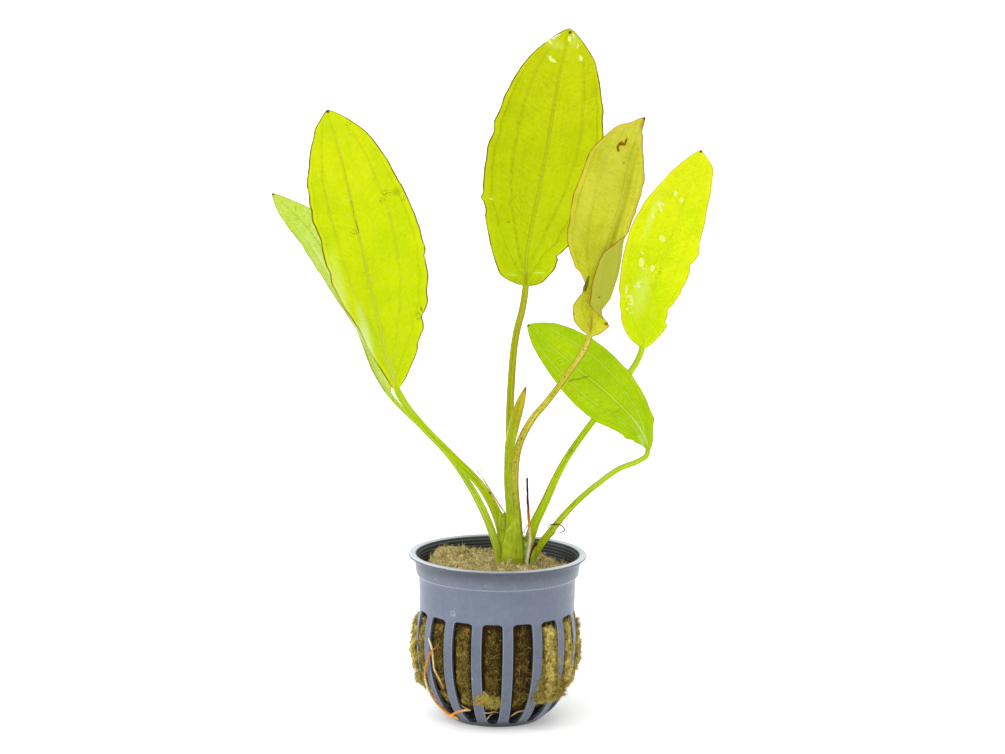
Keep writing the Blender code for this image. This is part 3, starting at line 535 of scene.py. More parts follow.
def wall_quads(solid):
    """Faces of a pierced wall of two skins, the second numbered after the first: both skins where
    the wall is solid, the edges of its openings, and the lip that joins the skins at the top."""
    rows, columns = len(solid) + 1, solid.shape[1]
    index = np.arange(rows * columns).reshape(rows, columns)
    a, b = index[:-1], np.roll(index, -1, axis=1)[:-1]
    c, d = index[1:], np.roll(index, -1, axis=1)[1:]
    skin = rows * columns
    after, before = np.roll(solid, -1, axis=1), np.roll(solid, 1, axis=1)
    below = np.concatenate([np.ones((1, columns), bool), solid[:-1]])
    above = np.concatenate([solid[1:], np.ones((1, columns), bool)])
    top, over = index[-1], np.roll(index[-1], -1)
    faces = (((a, b, d, c), solid), ((c + skin, d + skin, b + skin, a + skin), solid),
             ((b, b + skin, d + skin, d), solid & ~after),
             ((a, c, c + skin, a + skin), solid & ~before),
             ((a, b, b + skin, a + skin), ~solid & below),
             ((c, c + skin, d + skin, d), ~solid & above),
             ((top, over, over + skin, top + skin), np.ones(columns, bool)))
    return np.concatenate([np.stack(corners, axis=-1)[where] for corners, where in faces])


def net_pot_form():
    """The pot as one moulding: two skins on one grid of angle and wall row, with the cells of
    sixteen slots left out. A rib keeps one width, and widens by r - sqrt(r^2 - (r - d)^2) at a
    distance d below r from a slot's end, which rounds the corners. The inner skin carries the
    tool's rings as a sine of the height. Points also say how far they are inside, 0 or 1, and how
    near a slot's edge, 1 on its brink."""
    level, wall = wall_rows()
    length = np.concatenate(([0], np.cumsum(np.hypot(*np.diff(wall[:, :2], axis=0).T))))
    low, high = (np.interp(row, level, length) for row in (SLOT_BOTTOM_ROW, SLOT_TOP_ROW))
    inward = SLOT_CORNER - np.clip(np.minimum(length - low, high - length), 0, SLOT_CORNER)
    corner = SLOT_CORNER - np.sqrt(SLOT_CORNER**2 - inward**2)
    half = (RIB_WIDTH / 2 + corner) / wall[:, 0]
    rib = np.linspace(-1, 1, RIB_CELLS + 1)[None, :-1] * half[:, None]
    slot_share = (np.arange(SLOT_CELLS) / SLOT_CELLS)[None]
    slot = half[:, None] + slot_share * (RIB_PITCH - 2 * half)[:, None]
    pitch = np.concatenate([rib, slot], axis=1)
    middles = FIRST_RIB_ANGLE + np.arange(RIB_COUNT) * RIB_PITCH
    angle = (middles[None, :, None] + pitch[:, None, :]).reshape(len(level), -1)
    start, full, fade, gone = TOOL_RING_BAND
    rings = smoothstep(start, full, wall[:, 3]) - smoothstep(fade, gone, wall[:, 3])
    rings = TOOL_RING_DEPTH * rings * np.sin(2 * math.pi * wall[:, 3] / TOOL_RING_PITCH)
    outer = place_on_circle(wall[:, :1], angle, wall[:, 1:2])
    inner = place_on_circle((wall[:, 2] + rings)[:, None], angle, wall[:, 3:4])
    column = (np.arange(angle.shape[1]) % (RIB_CELLS + SLOT_CELLS))[None, :]
    is_slot = column >= RIB_CELLS
    in_rows = (level[:-1] >= SLOT_BOTTOM_ROW - 1e-9) & (level[1:] <= SLOT_TOP_ROW + 1e-9)
    skin = angle.size
    triangles = np.concatenate([fan(2 * skin, 0, angle.shape[1])[:, ::-1],
                                fan(2 * skin + 1, skin, angle.shape[1])])
    base = [[0, 0, POT_WALL[0, 1]], [0, 0, POT_WALL[0, 3]]]
    points = np.concatenate([outer.reshape(-1, 3), inner.reshape(-1, 3), base])
    inside = np.concatenate([np.zeros(skin), np.ones(skin), [0, 1]])
    across = np.where(is_slot, 0.0, np.abs(column / (RIB_CELLS / 2) - 1))
    across = np.where(column == RIB_CELLS, 1.0, across)
    beside = smoothstep(low - 0.5, low + 0.5, length) * smoothstep(high + 0.5, high - 0.5, length)
    brink = np.concatenate([(across * beside[:, None]).ravel(), np.zeros(skin + 2)])
    return (points, wall_quads(~(is_slot & in_rows[:, None])), triangles,
            dict(inside=inside, brink=brink))


def pot_material(settings):
    """Injection-moulded polypropylene, pigmented grey-blue: a satin skin with a faint mottle
    from the mould, dull haze and fine scuffs, and a duller inside. Shade is painted in under the
    lip, at the foot, down the bowl and over the inside, and highlights on the step, the slots'
    brinks, the tool rings and the lip."""
    material, add, place = start_material("moulded_polypropylene")
    inside, brink = (add("Attribute", attribute_name=key).outputs["Fac"]
                     for key in ("inside", "brink"))
    apart = add("SeparateXYZ", place)
    aside = add("Math.ABSOLUTE", apart.outputs["X"])
    height = apart.outputs["Z"]
    mottle = add("TexNoise", place, Scale=1 / (9 * MM), Detail=3.0)
    haze = add("TexNoise", place, Scale=1 / (2.2 * MM), Detail=4.0, Roughness=0.65)
    # Painted shade: the plastic is darkened under the lip, at the foot and down the bowl, where shade
    # falls.
    shadow = add("MapRange", height, 46.4 * MM, 49.6 * MM, 0.0, 0.58)
    low = add("MapRange.SMOOTHSTEP", height, 1.2 * MM, 3.6 * MM, 0.92, 0.0)
    bowl_shade = add("MapRange.SMOOTHSTEP", height, 24 * MM, 34 * MM, 0.24, 0.0)
    painted_shade = add("Math.MAXIMUM", shadow, add("Math.MAXIMUM", low, bowl_shade))
    # Painted highlights: the step below the collar and the slots' brinks are lightened as edges that
    # catch the light.
    step = add("Math.ABSOLUTE", add("Math.SUBTRACT", height, 45.15 * MM))
    layers = [(add("MapRange", haze, 0.50, 0.75, 0.0, 0.20), "#8d96a5"), (painted_shade, "#23262e"),
              (add("MapRange", step, 0.12 * MM, 0.32 * MM, 0.5, 0.0), "#aeb6c4"),
              (add("MapRange", brink, 0.80, 0.98, 0.0, 0.30), "#c4ccda")]
    # Dried drops leave pale rings and specks.
    for turn, level, radius, strength in DROP_MARKS:
        at = place_on_circle(outside_radius(level), math.radians(turn), level) * MM
        away = add("VectorMath.DISTANCE", place, at.tolist()).outputs["Value"]
        away = add("Math.ABSOLUTE", add("Math.SUBTRACT", away, radius * MM))
        layers.append((add("MapRange", away, 0.05 * MM, 0.22 * MM, strength, 0.0), "#c9d0db"))
    # Painted shade and highlights: the inside is darkened for the shade within the pot, the tool
    # rings inside are lightened on their crests, and the lip's top is lightened most at its sides.
    crest = add("Math.SINE", add("Math.MULTIPLY", height, 2 * math.pi / (TOOL_RING_PITCH * MM)))
    crest = add("Math.MULTIPLY", add("MapRange", crest, 0.3, 1.0, 0.0, 0.30), inside)
    rim = add("MapRange.SMOOTHSTEP", height, 51.2 * MM, 51.5 * MM, 0.0, 0.75)
    rim = add("Math.MULTIPLY", rim, add("MapRange", aside, 4 * MM, 25 * MM, 0.45, 1.05))
    layers += [(add("Math.MULTIPLY", inside, 0.95), settings.inner), (crest, "#8b9794"),
               (rim, "#e2e8f4")]
    body = add("Mix", mottle, linear(settings.shade), linear(settings.plastic))
    for share, colour in layers:
        body = add("Mix", share, body, linear(colour))
    rough = add("MapRange", haze, 0.3, 0.7, 0.22, 0.40)
    rough = add("Math.MULTIPLY_ADD", inside, 0.4, rough)
    scuffs = add("TexNoise", place, Scale=1 / (0.6 * MM), Detail=2.0)
    bump = add("Bump", Strength=0.10, Distance=0.1 * MM, Height=scuffs)
    add("OutputMaterial", add("BsdfPrincipled", Base_Color=body, Roughness=rough, IOR=1.5,
                              Specular_IOR_Level=0.5, Normal=bump))
    return material


# ---- rock wool ---------------------------------------------------------------------------------
def wool_swell(angle, height):
    """How far the wool's side stands from the pot's middle. It fills the pot, and between two
    ribs it swells out by 1 - q^4, with q from -1 to 1 across the slot, times a sine up the
    slot. Also returns how far inside its slot a place lies, 0 at a rib to 1 in the middle."""
    row = np.interp(height, WOOL_HEIGHTS, np.arange(len(WOOL_HEIGHTS)))
    inner = inside_radius(height) - CLEARANCE
    outer = outside_radius(height)
    turn = ((angle - FIRST_RIB_ANGLE) / RIB_PITCH) % RIB_COUNT
    slot = turn.astype(int) % RIB_COUNT
    edge = (RIB_WIDTH / 2 + CLEARANCE) / inside_radius(height) / RIB_PITCH
    q = np.clip(((turn % 1.0) - edge) / (1 - 2 * edge), 0, 1) * 2 - 1
    taper = np.sin(math.pi * np.clip((row - 0.2) / 5.4, 0, 1))
    low = np.array([LOW_TUFTS.get(i, 0.0) for i in range(RIB_COUNT)])[slot]
    reach = np.array(TUFT_REACH)[slot]
    middle = outer - 1.5 + (reach + 1.5) * taper + low * np.clip(1 - height / 20, 0, 1)
    open_row = smoothstep(0.3, 1.0, row) * (1 - smoothstep(5.0, 5.8, row))
    inside_slot = 1 - np.abs(q) ** 4
    return inner + np.maximum(0, middle - inner) * inside_slot * open_row, inside_slot * open_row


def wool_top_height(x, y, edge):
    """Height of the wool's top: a flat bed with low waves, and the listed mounds and hollows as
    bell curves. It falls to the height of the wool's edge at the pot's wall, where edge is 0."""
    bed = WOOL_TOP + 0.4 * np.sin(x / 3.1) * np.cos(y / 3.7 + 0.6)
    for centre_x, centre_y, rise, radius in WOOL_MOUNDS:
        bed = bed + rise * np.exp(-((x - centre_x) ** 2 + (y - centre_y) ** 2) / radius ** 2)
    return WOOL_EDGE + (bed - WOOL_EDGE) * smoothstep(0.0, 0.07, edge)


def rock_wool_form():
    """The plug on one grid: angle round the pot, and rows that run from the middle of its
    underside up the side and over the top to the seat. Fine relief moves the side in and out,
    and the top and the underside up and down. Also returns how far each point lies inside its
    slot, and whether it is on top."""
    angle = np.linspace(0, 2 * math.pi, WOOL_COLUMNS, endpoint=False)[None, :]
    heights = np.linspace(WOOL_HEIGHTS[0], WOOL_EDGE, WOOL_SIDE_ROWS)[:, None]
    radius, slotted = wool_swell(*np.broadcast_arrays(angle, heights))
    side = place_on_circle(radius, angle, heights)
    way = place_on_circle(np.ones_like(radius), angle, 0.0)
    relief = (0.34 * ripple(side, 3.4, 21) + 0.20 * ripple(side, 1.5, 22)
              + 0.10 * ripple(side, 0.8, 23))
    side = side + way * (relief * (0.15 + 0.85 * slotted))[..., None]
    share = np.linspace(0, 1, 46)[1:, None, None]
    seat = np.array([*SEAT_CENTRE, 0.0])
    top = side[-1][None] * (1 - share) + seat * share
    top[..., 2] = wool_top_height(top[..., 0], top[..., 1], share[..., 0])
    relief = 0.30 * ripple(top[..., :2], 3.0, 24) + 0.22 * ripple(top[..., :2], 1.3, 25)
    top[..., 2] += relief * smoothstep(0, 0.1, share[..., 0])
    share = np.linspace(0.05, 1, 14)[:-1, None, None]
    under = side[0][None] * share
    under[..., 2] = WOOL_HEIGHTS[0] + 0.35 * ripple(under[..., :2], 2.6, 26) * (1 - share[..., 0])
    blank = [np.zeros(part.shape[:2]) for part in (under, side, top)]
    slotted = np.concatenate([blank[0], slotted, blank[2]])
    on_top = np.concatenate([blank[0], blank[1], blank[2] + 1])
    return np.concatenate([under, side, top]), slotted, on_top


def grid_normals(grid):
    """Outward normals of a ring grid, from the cross product of its two slopes."""
    down = np.gradient(grid, axis=0)
    round_ = (np.roll(grid, -1, axis=1) - np.roll(grid, 1, axis=1)) / 2
    return unit(np.cross(round_, down))


def scatter(grid, count, draw, weight):
    """Random places on a ring grid, as likely as their cell's area times a weight: places,
    normals and the row and column that each came from."""
    normals = grid_normals(grid)
    area = np.linalg.norm(np.cross(np.diff(grid, axis=0), (np.roll(grid, -1, axis=1) - grid)[:-1]),
                          axis=-1) * weight[:-1]
    cell = draw.choice(area.size, count, p=area.ravel() / area.sum())
    row, column = np.divmod(cell, grid.shape[1])
    u, v = draw.random((2, count, 1))
    after = (column + 1) % grid.shape[1]
    low = grid[row, column] * (1 - u) + grid[row, after] * u
    high = grid[row + 1, column] * (1 - u) + grid[row + 1, after] * u
    return low * (1 - v) + high * v, normals[row, column], row, column


def fibre_forms(roots, headings, bends, lengths, radius):
    """Fine fibres as three-sided spikes: each follows root + heading * l * t + bend * l * t^2
    for t from 0 to 1, and narrows to its tip."""
    t = np.array([0.0, 0.5, 1.0])
    reach = lengths[:, None, None]
    centre = (roots[:, None] + headings[:, None] * reach * t[None, :, None]
              + bends[:, None] * reach * (t ** 2)[None, :, None])
    side = unit(np.cross(headings, bends + 1e-6))
    other = np.cross(unit(headings), side)
    angle = np.arange(3)[None, :, None] * 2 * math.pi / 3
    ring = np.cos(angle) * side[:, None] + np.sin(angle) * other[:, None]
    width = (radius[:, None] * np.array([0.9, 1.0, 0.25])[None])[:, :, None, None]
    points = (centre[:, :, None] + width * ring[:, None]).reshape(-1, 3)
    caps = np.array([[2, 1, 0], [6, 7, 8]])
    first = np.arange(len(roots))[:, None, None] * FIBRE_POINTS
    return points, (grid_quads(3, 3)[None] + first).reshape(-1, 4), (caps + first).reshape(-1, 3)


def wool_fibres(grid, count, draw, weight, lift, length, slope, spread):
    """Fibres that lie along a wool surface and lift off it a little: form and the cell that each
    grew from. They slope up from the horizontal by an angle that drifts by the spread, in
    radians, over a few millimetres, which lays them in locks."""
    roots, normals, row, column = scatter(grid, count, draw, weight)
    # On level ground the fibres lie by +Y, elsewhere by the upright.
    level = np.where(np.abs(normals[:, 2:]) > 0.8, [[0.0, 1.0, 0.0]], [[0.0, 0.0, 1.0]])
    across = unit(np.cross(level, normals))
    upward = np.cross(normals, across)
    turn = slope + spread * ripple(roots, 7.0, 31) + draw.normal(0, 0.3, count)
    along = np.cos(turn)[:, None] * across + np.sin(turn)[:, None] * upward
    headings = unit(along + normals * draw.uniform(lift[0], lift[1], count)[:, None])
    bends = (np.cross(along, normals) * draw.uniform(-0.35, 0.35, count)[:, None]
             - normals * draw.uniform(0.0, 0.2, count)[:, None])
    form = fibre_forms(roots - normals * 0.1, headings, bends, draw.uniform(*length, count),
                       draw.uniform(0.04, 0.085, count))
    return form, row, column


def tuft_grid(turn, height, radius, wide, tall, out, lean, seed):
    """A lump of wool on a ball's grid: an ellipsoid with soft random relief, leaning by an angle
    in the plane of the pot's wall."""
    up = np.linspace(0.02, math.pi - 0.02, 26)[:, None]
    about = np.linspace(0, 2 * math.pi, 40, endpoint=False)[None, :]
    ball = np.stack([np.sin(up) * np.cos(about), np.sin(up) * np.sin(about),
                     -np.cos(up) * np.ones_like(about)], axis=-1)
    size = np.array([wide, out, tall])
    rough = 1 + 0.10 * ripple(ball * size, 4.0, seed) + 0.06 * ripple(ball * size, 1.6, seed + 50)
    local = ball * size * rough[..., None]
    slant = math.radians(lean)
    x = local[..., 0] * math.cos(slant) + local[..., 2] * math.sin(slant)
    z = local[..., 2] * math.cos(slant) - local[..., 0] * math.sin(slant)
    across, outward = facing_axes(turn)
    middle = outward * radius + (0, 0, height)
    return middle + x[..., None] * across + local[..., 1:2] * outward + z[..., None] * UP


def wool_material(settings):
    """Mineral wool, blown and pressed: a matt felt of glassy fibres. Its pale share makes it
    straw-coloured where it stands proud and brown where it lies back in a slot or behind a rib:
    partly dry and wet wool, partly painted light and shade."""
    material, add, place = start_material("mineral_wool")
    pale, tint = (add("Attribute", attribute_name=key).outputs["Fac"] for key in ("pale", "tint"))
    clumps = add("TexNoise", place, Scale=1 / (3.6 * MM), Detail=4.0, Roughness=0.6)
    # Felted strands: drawn coarser than real fibres, which are too fine to show.
    combed = add("Mapping", place, Rotation=(0.5, 0.6, 0.0), Scale=(1.0, 1.0, 0.4))
    strands = add("TexNoise", combed, Scale=1 / (0.45 * MM), Detail=3.0, Roughness=0.75)
    shift = add("Math.MULTIPLY_ADD", clumps, 0.8, -0.40)
    shift = add("Math.MULTIPLY_ADD", strands, 1.5, add("Math", shift, -0.75))
    level = add("Math", add("Math", pale, shift), tint, use_clamp=True)
    light = add("MapRange", level, 0.45, 1.0)
    gold = add("MapRange", add("SeparateXYZ", place).outputs["Z"], 36 * MM, 42 * MM, 1.0, 0.0)
    # One brown stain on the top, at the left in front.
    stain = add("VectorMath.SUBTRACT", place, (-17.3 * MM, 5.5 * MM, 48.0 * MM))
    stain = add("VectorMath.MULTIPLY", stain, (1.0, 0.6, 1.0))
    stain = add("VectorMath.LENGTH", stain).outputs["Value"]
    stain = add("Math.MULTIPLY_ADD", clumps, 2.5 * MM, stain)
    layers = ((add("MapRange", level, 0.0, 0.45), settings.olive), (light, settings.straw),
              (add("Math.MULTIPLY", gold, light), settings.gold),
              (add("MapRange", stain, 3.4 * MM, 1.6 * MM, 0.0, 0.75), "#a8601c"))
    colour = linear(settings.wet)
    for share, shade in layers:
        colour = add("Mix", share, colour, linear(shade))
    bump = add("Bump", Strength=0.7, Distance=0.3 * MM, Height=strands)
    add("OutputMaterial", add("BsdfPrincipled", Base_Color=colour, Roughness=0.9,
                              Specular_IOR_Level=0.12, Normal=bump))
    return material


# ---- leaves ------------------------------------------------------------------------------------
def leaf_width(leaf, sign, t):
    """Half-width of one side along the blade: right for sign 1, left for -1. Powers of the drawn
    values are blended: squares along the blade, 1.35 in its last part, which brings the tip to
    a point, and the leaf's own power in its first, where a high one gives a blunt base. The
    margin's bumps are added as bell curves."""
    values = leaf["right" if sign > 0 else "left"]
    part = 1 / (len(values) - 1)
    power = np.where(t < 1 - part, np.where(t < part, leaf.get("base_power", 2.0), 2.0), 1.35)
    below = np.minimum((t * (len(values) - 1)).astype(int), len(values) - 2)
    share = t * (len(values) - 1) - below
    low, high = np.array(values)[below], np.array(values)[below + 1]
    width = ((1 - share) * low ** power + share * high ** power) ** (1 / power)
    for side, at, height, length in leaf.get("bumps", ()):
        if side == sign:
            width = width + height * np.exp(-((t - at) / length) ** 2)
    return width


def leaf_frames(leaf, fractions):
    """Points along a leaf, and its directions sideways, out of the seen face and lengthwise. The
    side is the cross product of the path's direction, averaged over a few rows, and the way the
    seen face looks."""
    curve, _ = smooth_curve(leaf["path"], fractions)
    tangent = unit(np.gradient(curve, np.maximum.accumulate(fractions), axis=0))
    kernel = np.hanning(2 * TURN_ROWS + 3)[1:-1]
    kernel /= kernel.sum()
    padded = np.pad(tangent, ((TURN_ROWS, TURN_ROWS), (0, 0)), mode="edge")
    tangent = unit(np.stack([np.convolve(padded[:, i], kernel, "valid") for i in range(3)], axis=1))
    start, end = np.array(leaf["face"], dtype=float)
    blend = np.asarray(fractions)[:, None]
    side = unit(np.cross(tangent, start * (1 - blend) + end * blend))
    return curve, side, np.cross(side, tangent), tangent


def half_section(width, folded, fold):
    """Sideways and faceward offsets of half a blade from midrib to margin, and the heading at
    each place. The section is walked in short steps: its heading starts at the fold's angle, and
    turns right over within a short bend where the margin is folded back to the front."""
    arc = (width + folded)[:, None] * HALF_PLACES[None]
    bend = (arc - width[:, None]) / (math.pi * CREST_RADIUS / 2)
    turn = FOLD_TURN * smoothstep(-1.0, 1.0, bend) * smoothstep(0.0, 1.5, folded)[:, None]
    heading = math.atan(fold) + turn
    middle = (heading[:, 1:] + heading[:, :-1]) / 2
    step = np.diff(arc, axis=1)
    zero = np.zeros((len(width), 1))
    across = np.concatenate([zero, np.cumsum(np.cos(middle) * step, axis=1)], axis=1)
    out = np.concatenate([zero, np.cumsum(np.sin(middle) * step, axis=1)], axis=1)
    return across, out, heading, arc


def vein_places(t):
    """Places of the two side veins on half a blade: level * (1 - exp(-t / start))^1.5."""
    t = np.maximum(t, 0)[:, None]
    return [level * (1 - np.exp(-t / start)) ** 1.5 for level, start in VEIN_LEVELS]


def leaf_places(leaf):
    """Rows along a leaf, closer at both ends of the blade: their share of the path, and t, which
    is -1 at the foot of the stalk, 0 where the blade starts and 1 at the tip."""
    _, knots = smooth_curve(leaf["path"], np.array([0.0, 1.0]))
    start = knots[leaf["blade_from"]]
    even = np.linspace(0, 1, BLADE_ROWS)
    blade_t = 0.7 * even + 0.3 * (1 - np.cos(math.pi * even)) / 2
    stalk_f = np.linspace(0, start, STALK_ROWS + 1)[:-1]
    return (np.concatenate([stalk_f, start + (1 - start) * blade_t]),
            np.concatenate([stalk_f / start - 1, blade_t]))


def blade_envelope(t):
    """0 at both ends of the blade, and 1 between its first and last quarter."""
    t = np.clip(t, 0, 1)
    return np.minimum(1, np.minimum(4 * t, 4 * (1 - t)))


def half_blade(leaf, seed, sign, t, along):
    """Half a blade, right for sign 1 and left for -1: offsets sideways and faceward, heading,
    distances from midrib, margin and side veins, and half-width. The margin's waves grow with the
    cube of the distance from the midrib and its crinkles with the sixth power."""
    tc = np.clip(t, 0, 1)
    envelope = blade_envelope(t)
    edge = np.stack([along, np.full_like(along, 40.0 * sign)], axis=1)
    scallop = 1 + 0.02 * leaf["ruffle"] * ripple(edge, 6.0, seed + sign) * envelope
    width = leaf_width(leaf, sign, tc) * scallop
    folded = leaf.get("folded", (0, 0)) if sign > 0 else (0, 0)
    flap = np.interp(tc, np.linspace(0, 1, len(folded)), folded)
    across, height, heading, arc = half_section(width, flap, leaf["fold"])
    free = envelope * (1 - 0.85 * smoothstep(0.0, 1.5, flap))
    waves, wave_height = leaf["waves"]
    lag = 0.0 if sign > 0 else 1.7
    wave = wave_height * np.sin(2 * math.pi * waves * tc + lag) * free
    crinkle = leaf["ruffle"] * ripple(edge, 6.0, seed + 3 + sign) * free
    quilt = np.stack([arc * sign, np.broadcast_to(along[:, None], arc.shape)], axis=-1)
    swell = 0.10 * ripple(quilt, 7.0, seed + 6) * envelope[:, None] * np.clip(arc / 3, 0, 1)
    near = HALF_PLACES[None] ** 3
    height = height + wave[:, None] * near + crinkle[:, None] * near ** 2 + swell
    whole = (width + flap)[:, None]
    first, second = (np.abs(arc - place * whole) for place in vein_places(t))
    return dict(x=across * sign, z=height, heading=heading, arc=arc * sign, edge=whole - arc,
                vein=np.minimum(first, second + FAINT_VEIN), width=width)


def blade_heights(t, place, narrow, arc, edge, vein, settings):
    """How far the seen and the hidden face stand off the blade's middle. The blade thins to its
    margin, the midrib stands out below and has a groove above, and side veins stand out on both
    faces: each is a bell curve of its distance."""
    tt = np.clip(t, 0, 1)[:, None]
    thick = settings.blade_thickness / MM * (1 - 0.75 * place ** 6)
    thick = thick * np.clip(0.4 + narrow / 5, 0, 1)
    rib = (settings.midrib_thickness / MM * (1 - tt) + 0.45 * tt) * np.clip(0.3 + narrow / 3, 0, 1)
    ridge = rib * np.exp(-(arc / (0.95 - 0.5 * tt)) ** 2)
    groove = 0.16 * np.exp(-(arc / 0.45) ** 2) * (1 - 0.6 * tt)
    line = 0.10 * np.exp(-(vein / 0.35) ** 2) * blade_envelope(t)[:, None]
    line = line * np.clip(edge / 1.5, 0, 1)
    return thick / 2 - groove + VEIN_RISE * line, thick / 2 + ridge + line


def stalk_section(leaf, t, place):
    """A stalk's section: an oval with fine flutes and a shallow channel in its seen face. Returns
    offsets sideways, and faceward for the seen and the hidden face."""
    half = np.interp(t, np.linspace(-1, 0, len(leaf["stalk"])), leaf["stalk"])[:, None] / 2
    theta = np.arccos(np.clip(place, -1, 1))
    flutes = 0.035 * np.cos(9 * theta)
    channel = 0.30 * np.exp(-(place / 0.42) ** 2)
    flat = half * STALK_FLATNESS
    return (half * np.cos(theta), flat * (np.sin(theta) * (1 + flutes) - channel),
            -flat * np.sin(theta) * (1 + flutes) * (1.0 + 0.1 * channel))


def leaf_form(name, settings):
    """The surface of one leaf, as a grid of rows along it and a closed loop of points in each:
    the seen face from right to left margin, and back over the hidden one. The stalk's oval is
    blended into the blade's two half sections where the blade starts. Every point also gets its
    distances from midrib, margin and veins."""
    leaf = LEAVES[name]
    seed = 100 + 10 * list(LEAVES).index(name)
    fractions, t = leaf_places(leaf)
    curve, side, out, tangent = leaf_frames(leaf, fractions)
    steps = np.linalg.norm(np.diff(curve, axis=0), axis=1)
    along = np.concatenate(([0], np.cumsum(steps)))
    along -= along[STALK_ROWS]
    right, left = (half_blade(leaf, seed, sign, t, along) for sign in (1, -1))

    def over(key, mirror=1.0):
        """A value across the whole blade, right margin to left margin."""
        return np.concatenate([right[key][:, ::-1], mirror * left[key][:, 1:]], axis=1)

    x, z, arc, edge, vein = (over(key) for key in ("x", "z", "arc", "edge", "vein"))
    heading = over("heading", -1.0)
    place = np.concatenate([HALF_PLACES[::-1], -HALF_PLACES[1:]])[None]
    narrow = np.minimum(right["width"], left["width"])[:, None]
    above, below = blade_heights(t, place, narrow, arc, edge, vein, settings)
    oval_x, oval_top, oval_low = stalk_section(leaf, t, place)
    blade = smoothstep(-0.02, leaf.get("merge", 0.014), t)[:, None]
    stalk = 1 - blade
    top_x, low_x = (oval_x * stalk + (x - np.sin(heading) * height) * blade
                    for height in (above, -below))
    top_z, low_z = (oval * stalk + (z + np.cos(heading) * height) * blade
                    for oval, height in ((oval_top, above), (oval_low, -below)))
    points = curve[:, None]
    for top, low, way in ((top_x, low_x, side), (top_z, low_z, out)):
        # Both faces meet at the margins.
        top[:, [0, -1]] = ((top + low) / 2)[:, [0, -1]]
        points = points + np.concatenate([top, low[:, -2:0:-1]], axis=1)[..., None] * way[:, None]

    def both(value):
        """A value of the seen face, carried on over the underside."""
        value = np.broadcast_to(value, top_x.shape)
        return np.concatenate([value, value[:, -2:0:-1]], axis=1)

    under = np.concatenate([np.zeros(top_x.shape), np.ones((len(t), top_x.shape[1] - 2))], axis=1)
    away = 20 * both(stalk)
    values = dict(across_mm=both(arc * blade + oval_x * stalk), edge_mm=both(edge) + away,
                  vein_mm=both(vein) + away, along_mm=both(along[:, None]),
                  growth=both(t[:, None]), underside=under, lobe=both(place))
    uv = np.stack([0.5 + 0.5 * both(place), (both(t[:, None]) + 1) / 2], axis=-1)
    return dict(points=points, t=t, place=place[0], out=out, tangent=tangent, values=values,
                uv=uv, length=along[-1])


def loop_ends(rows, columns):
    """Faces that close the first and last loops of a leaf, joining its two faces across."""
    half = columns // 2
    i = np.arange(half)
    quads = np.stack([i, i + 1, (columns - i - 1) % columns, (columns - i) % columns], axis=1)
    middle = quads[1:-1]
    tips = np.array([[0, 1, columns - 1], [half - 1, half, half + 1]])
    last = (rows - 1) * columns
    return (np.concatenate([middle, middle[:, ::-1] + last]),
            np.concatenate([tips, tips[:, ::-1] + last]))


def ground_layers(add, look, growth, clouds):
    """The green from the foot of the stalk to the tip, with cloudy mottling."""
    layers = [(add("MapRange.SMOOTHSTEP", growth, low, high), look[key])
              for low, high, key in TONE_STOPS]
    mottle = add("MapRange.SMOOTHSTEP", clouds, 0.38, 0.68, 0.0, look["mottle"])
    return layers + [(mottle, look["second"])]


def fibre_layers(add, look, place, strands, growth):
    """Lengthwise fibres, strong in the stalk and faint in the blade, and fine grain as between
    veinlets."""
    strength = add("MapRange.SMOOTHSTEP", growth, -0.02, 0.06, 1.0, 0.12)
    pale = add("MapRange.SMOOTHSTEP", strands, 0.50, 0.66, 0.0, 0.9)
    dark = add("MapRange.SMOOTHSTEP", strands, 0.48, 0.34, 0.0, 0.85)
    tissue = add("TexNoise", place, Scale=1 / (0.9 * MM), Detail=3.0, Roughness=0.7)
    grain = 0.45 * look["grain"]
    return [(add("Math.MULTIPLY", pale, strength), look["streak"]),
            (add("Math.MULTIPLY", dark, strength), look["shade"]),
            (add("MapRange", tissue, 0.50, 0.72, 0.0, grain), look["vein_light"]),
            (add("MapRange", tissue, 0.50, 0.28, 0.0, grain), look["shade"])]


def stalk_layers(add, look, place, lobe, on_stalk):
    """Brown dots, painted highlights along the brims of the stalk's channel, and its browner sides.
    """
    dots = add("TexNoise", place, Scale=1 / (0.7 * MM), Detail=1.0)
    dots = add("MapRange", dots, 0.62, 0.68, 0.0, look["stalk_dots"])
    channel_highlight = add("Math.SUBTRACT", add("Math.ABSOLUTE", lobe), 0.72)
    channel_highlight = add("MapRange", add("Math.ABSOLUTE", channel_highlight), 0.16, 0.02, 0.0, look["channel_highlight"])
    verge = add("Math", add("MapRange.SMOOTHSTEP", lobe, 0.5, 0.85, 0.0, look["verge_right"]),
                add("MapRange.SMOOTHSTEP", lobe, -0.5, -0.85, 0.0, look["verge_left"]))
    return [(add("Math.MULTIPLY", share, on_stalk), look[key])
            for share, key in ((dots, "verge"), (channel_highlight, "streak"), (verge, "verge"))]


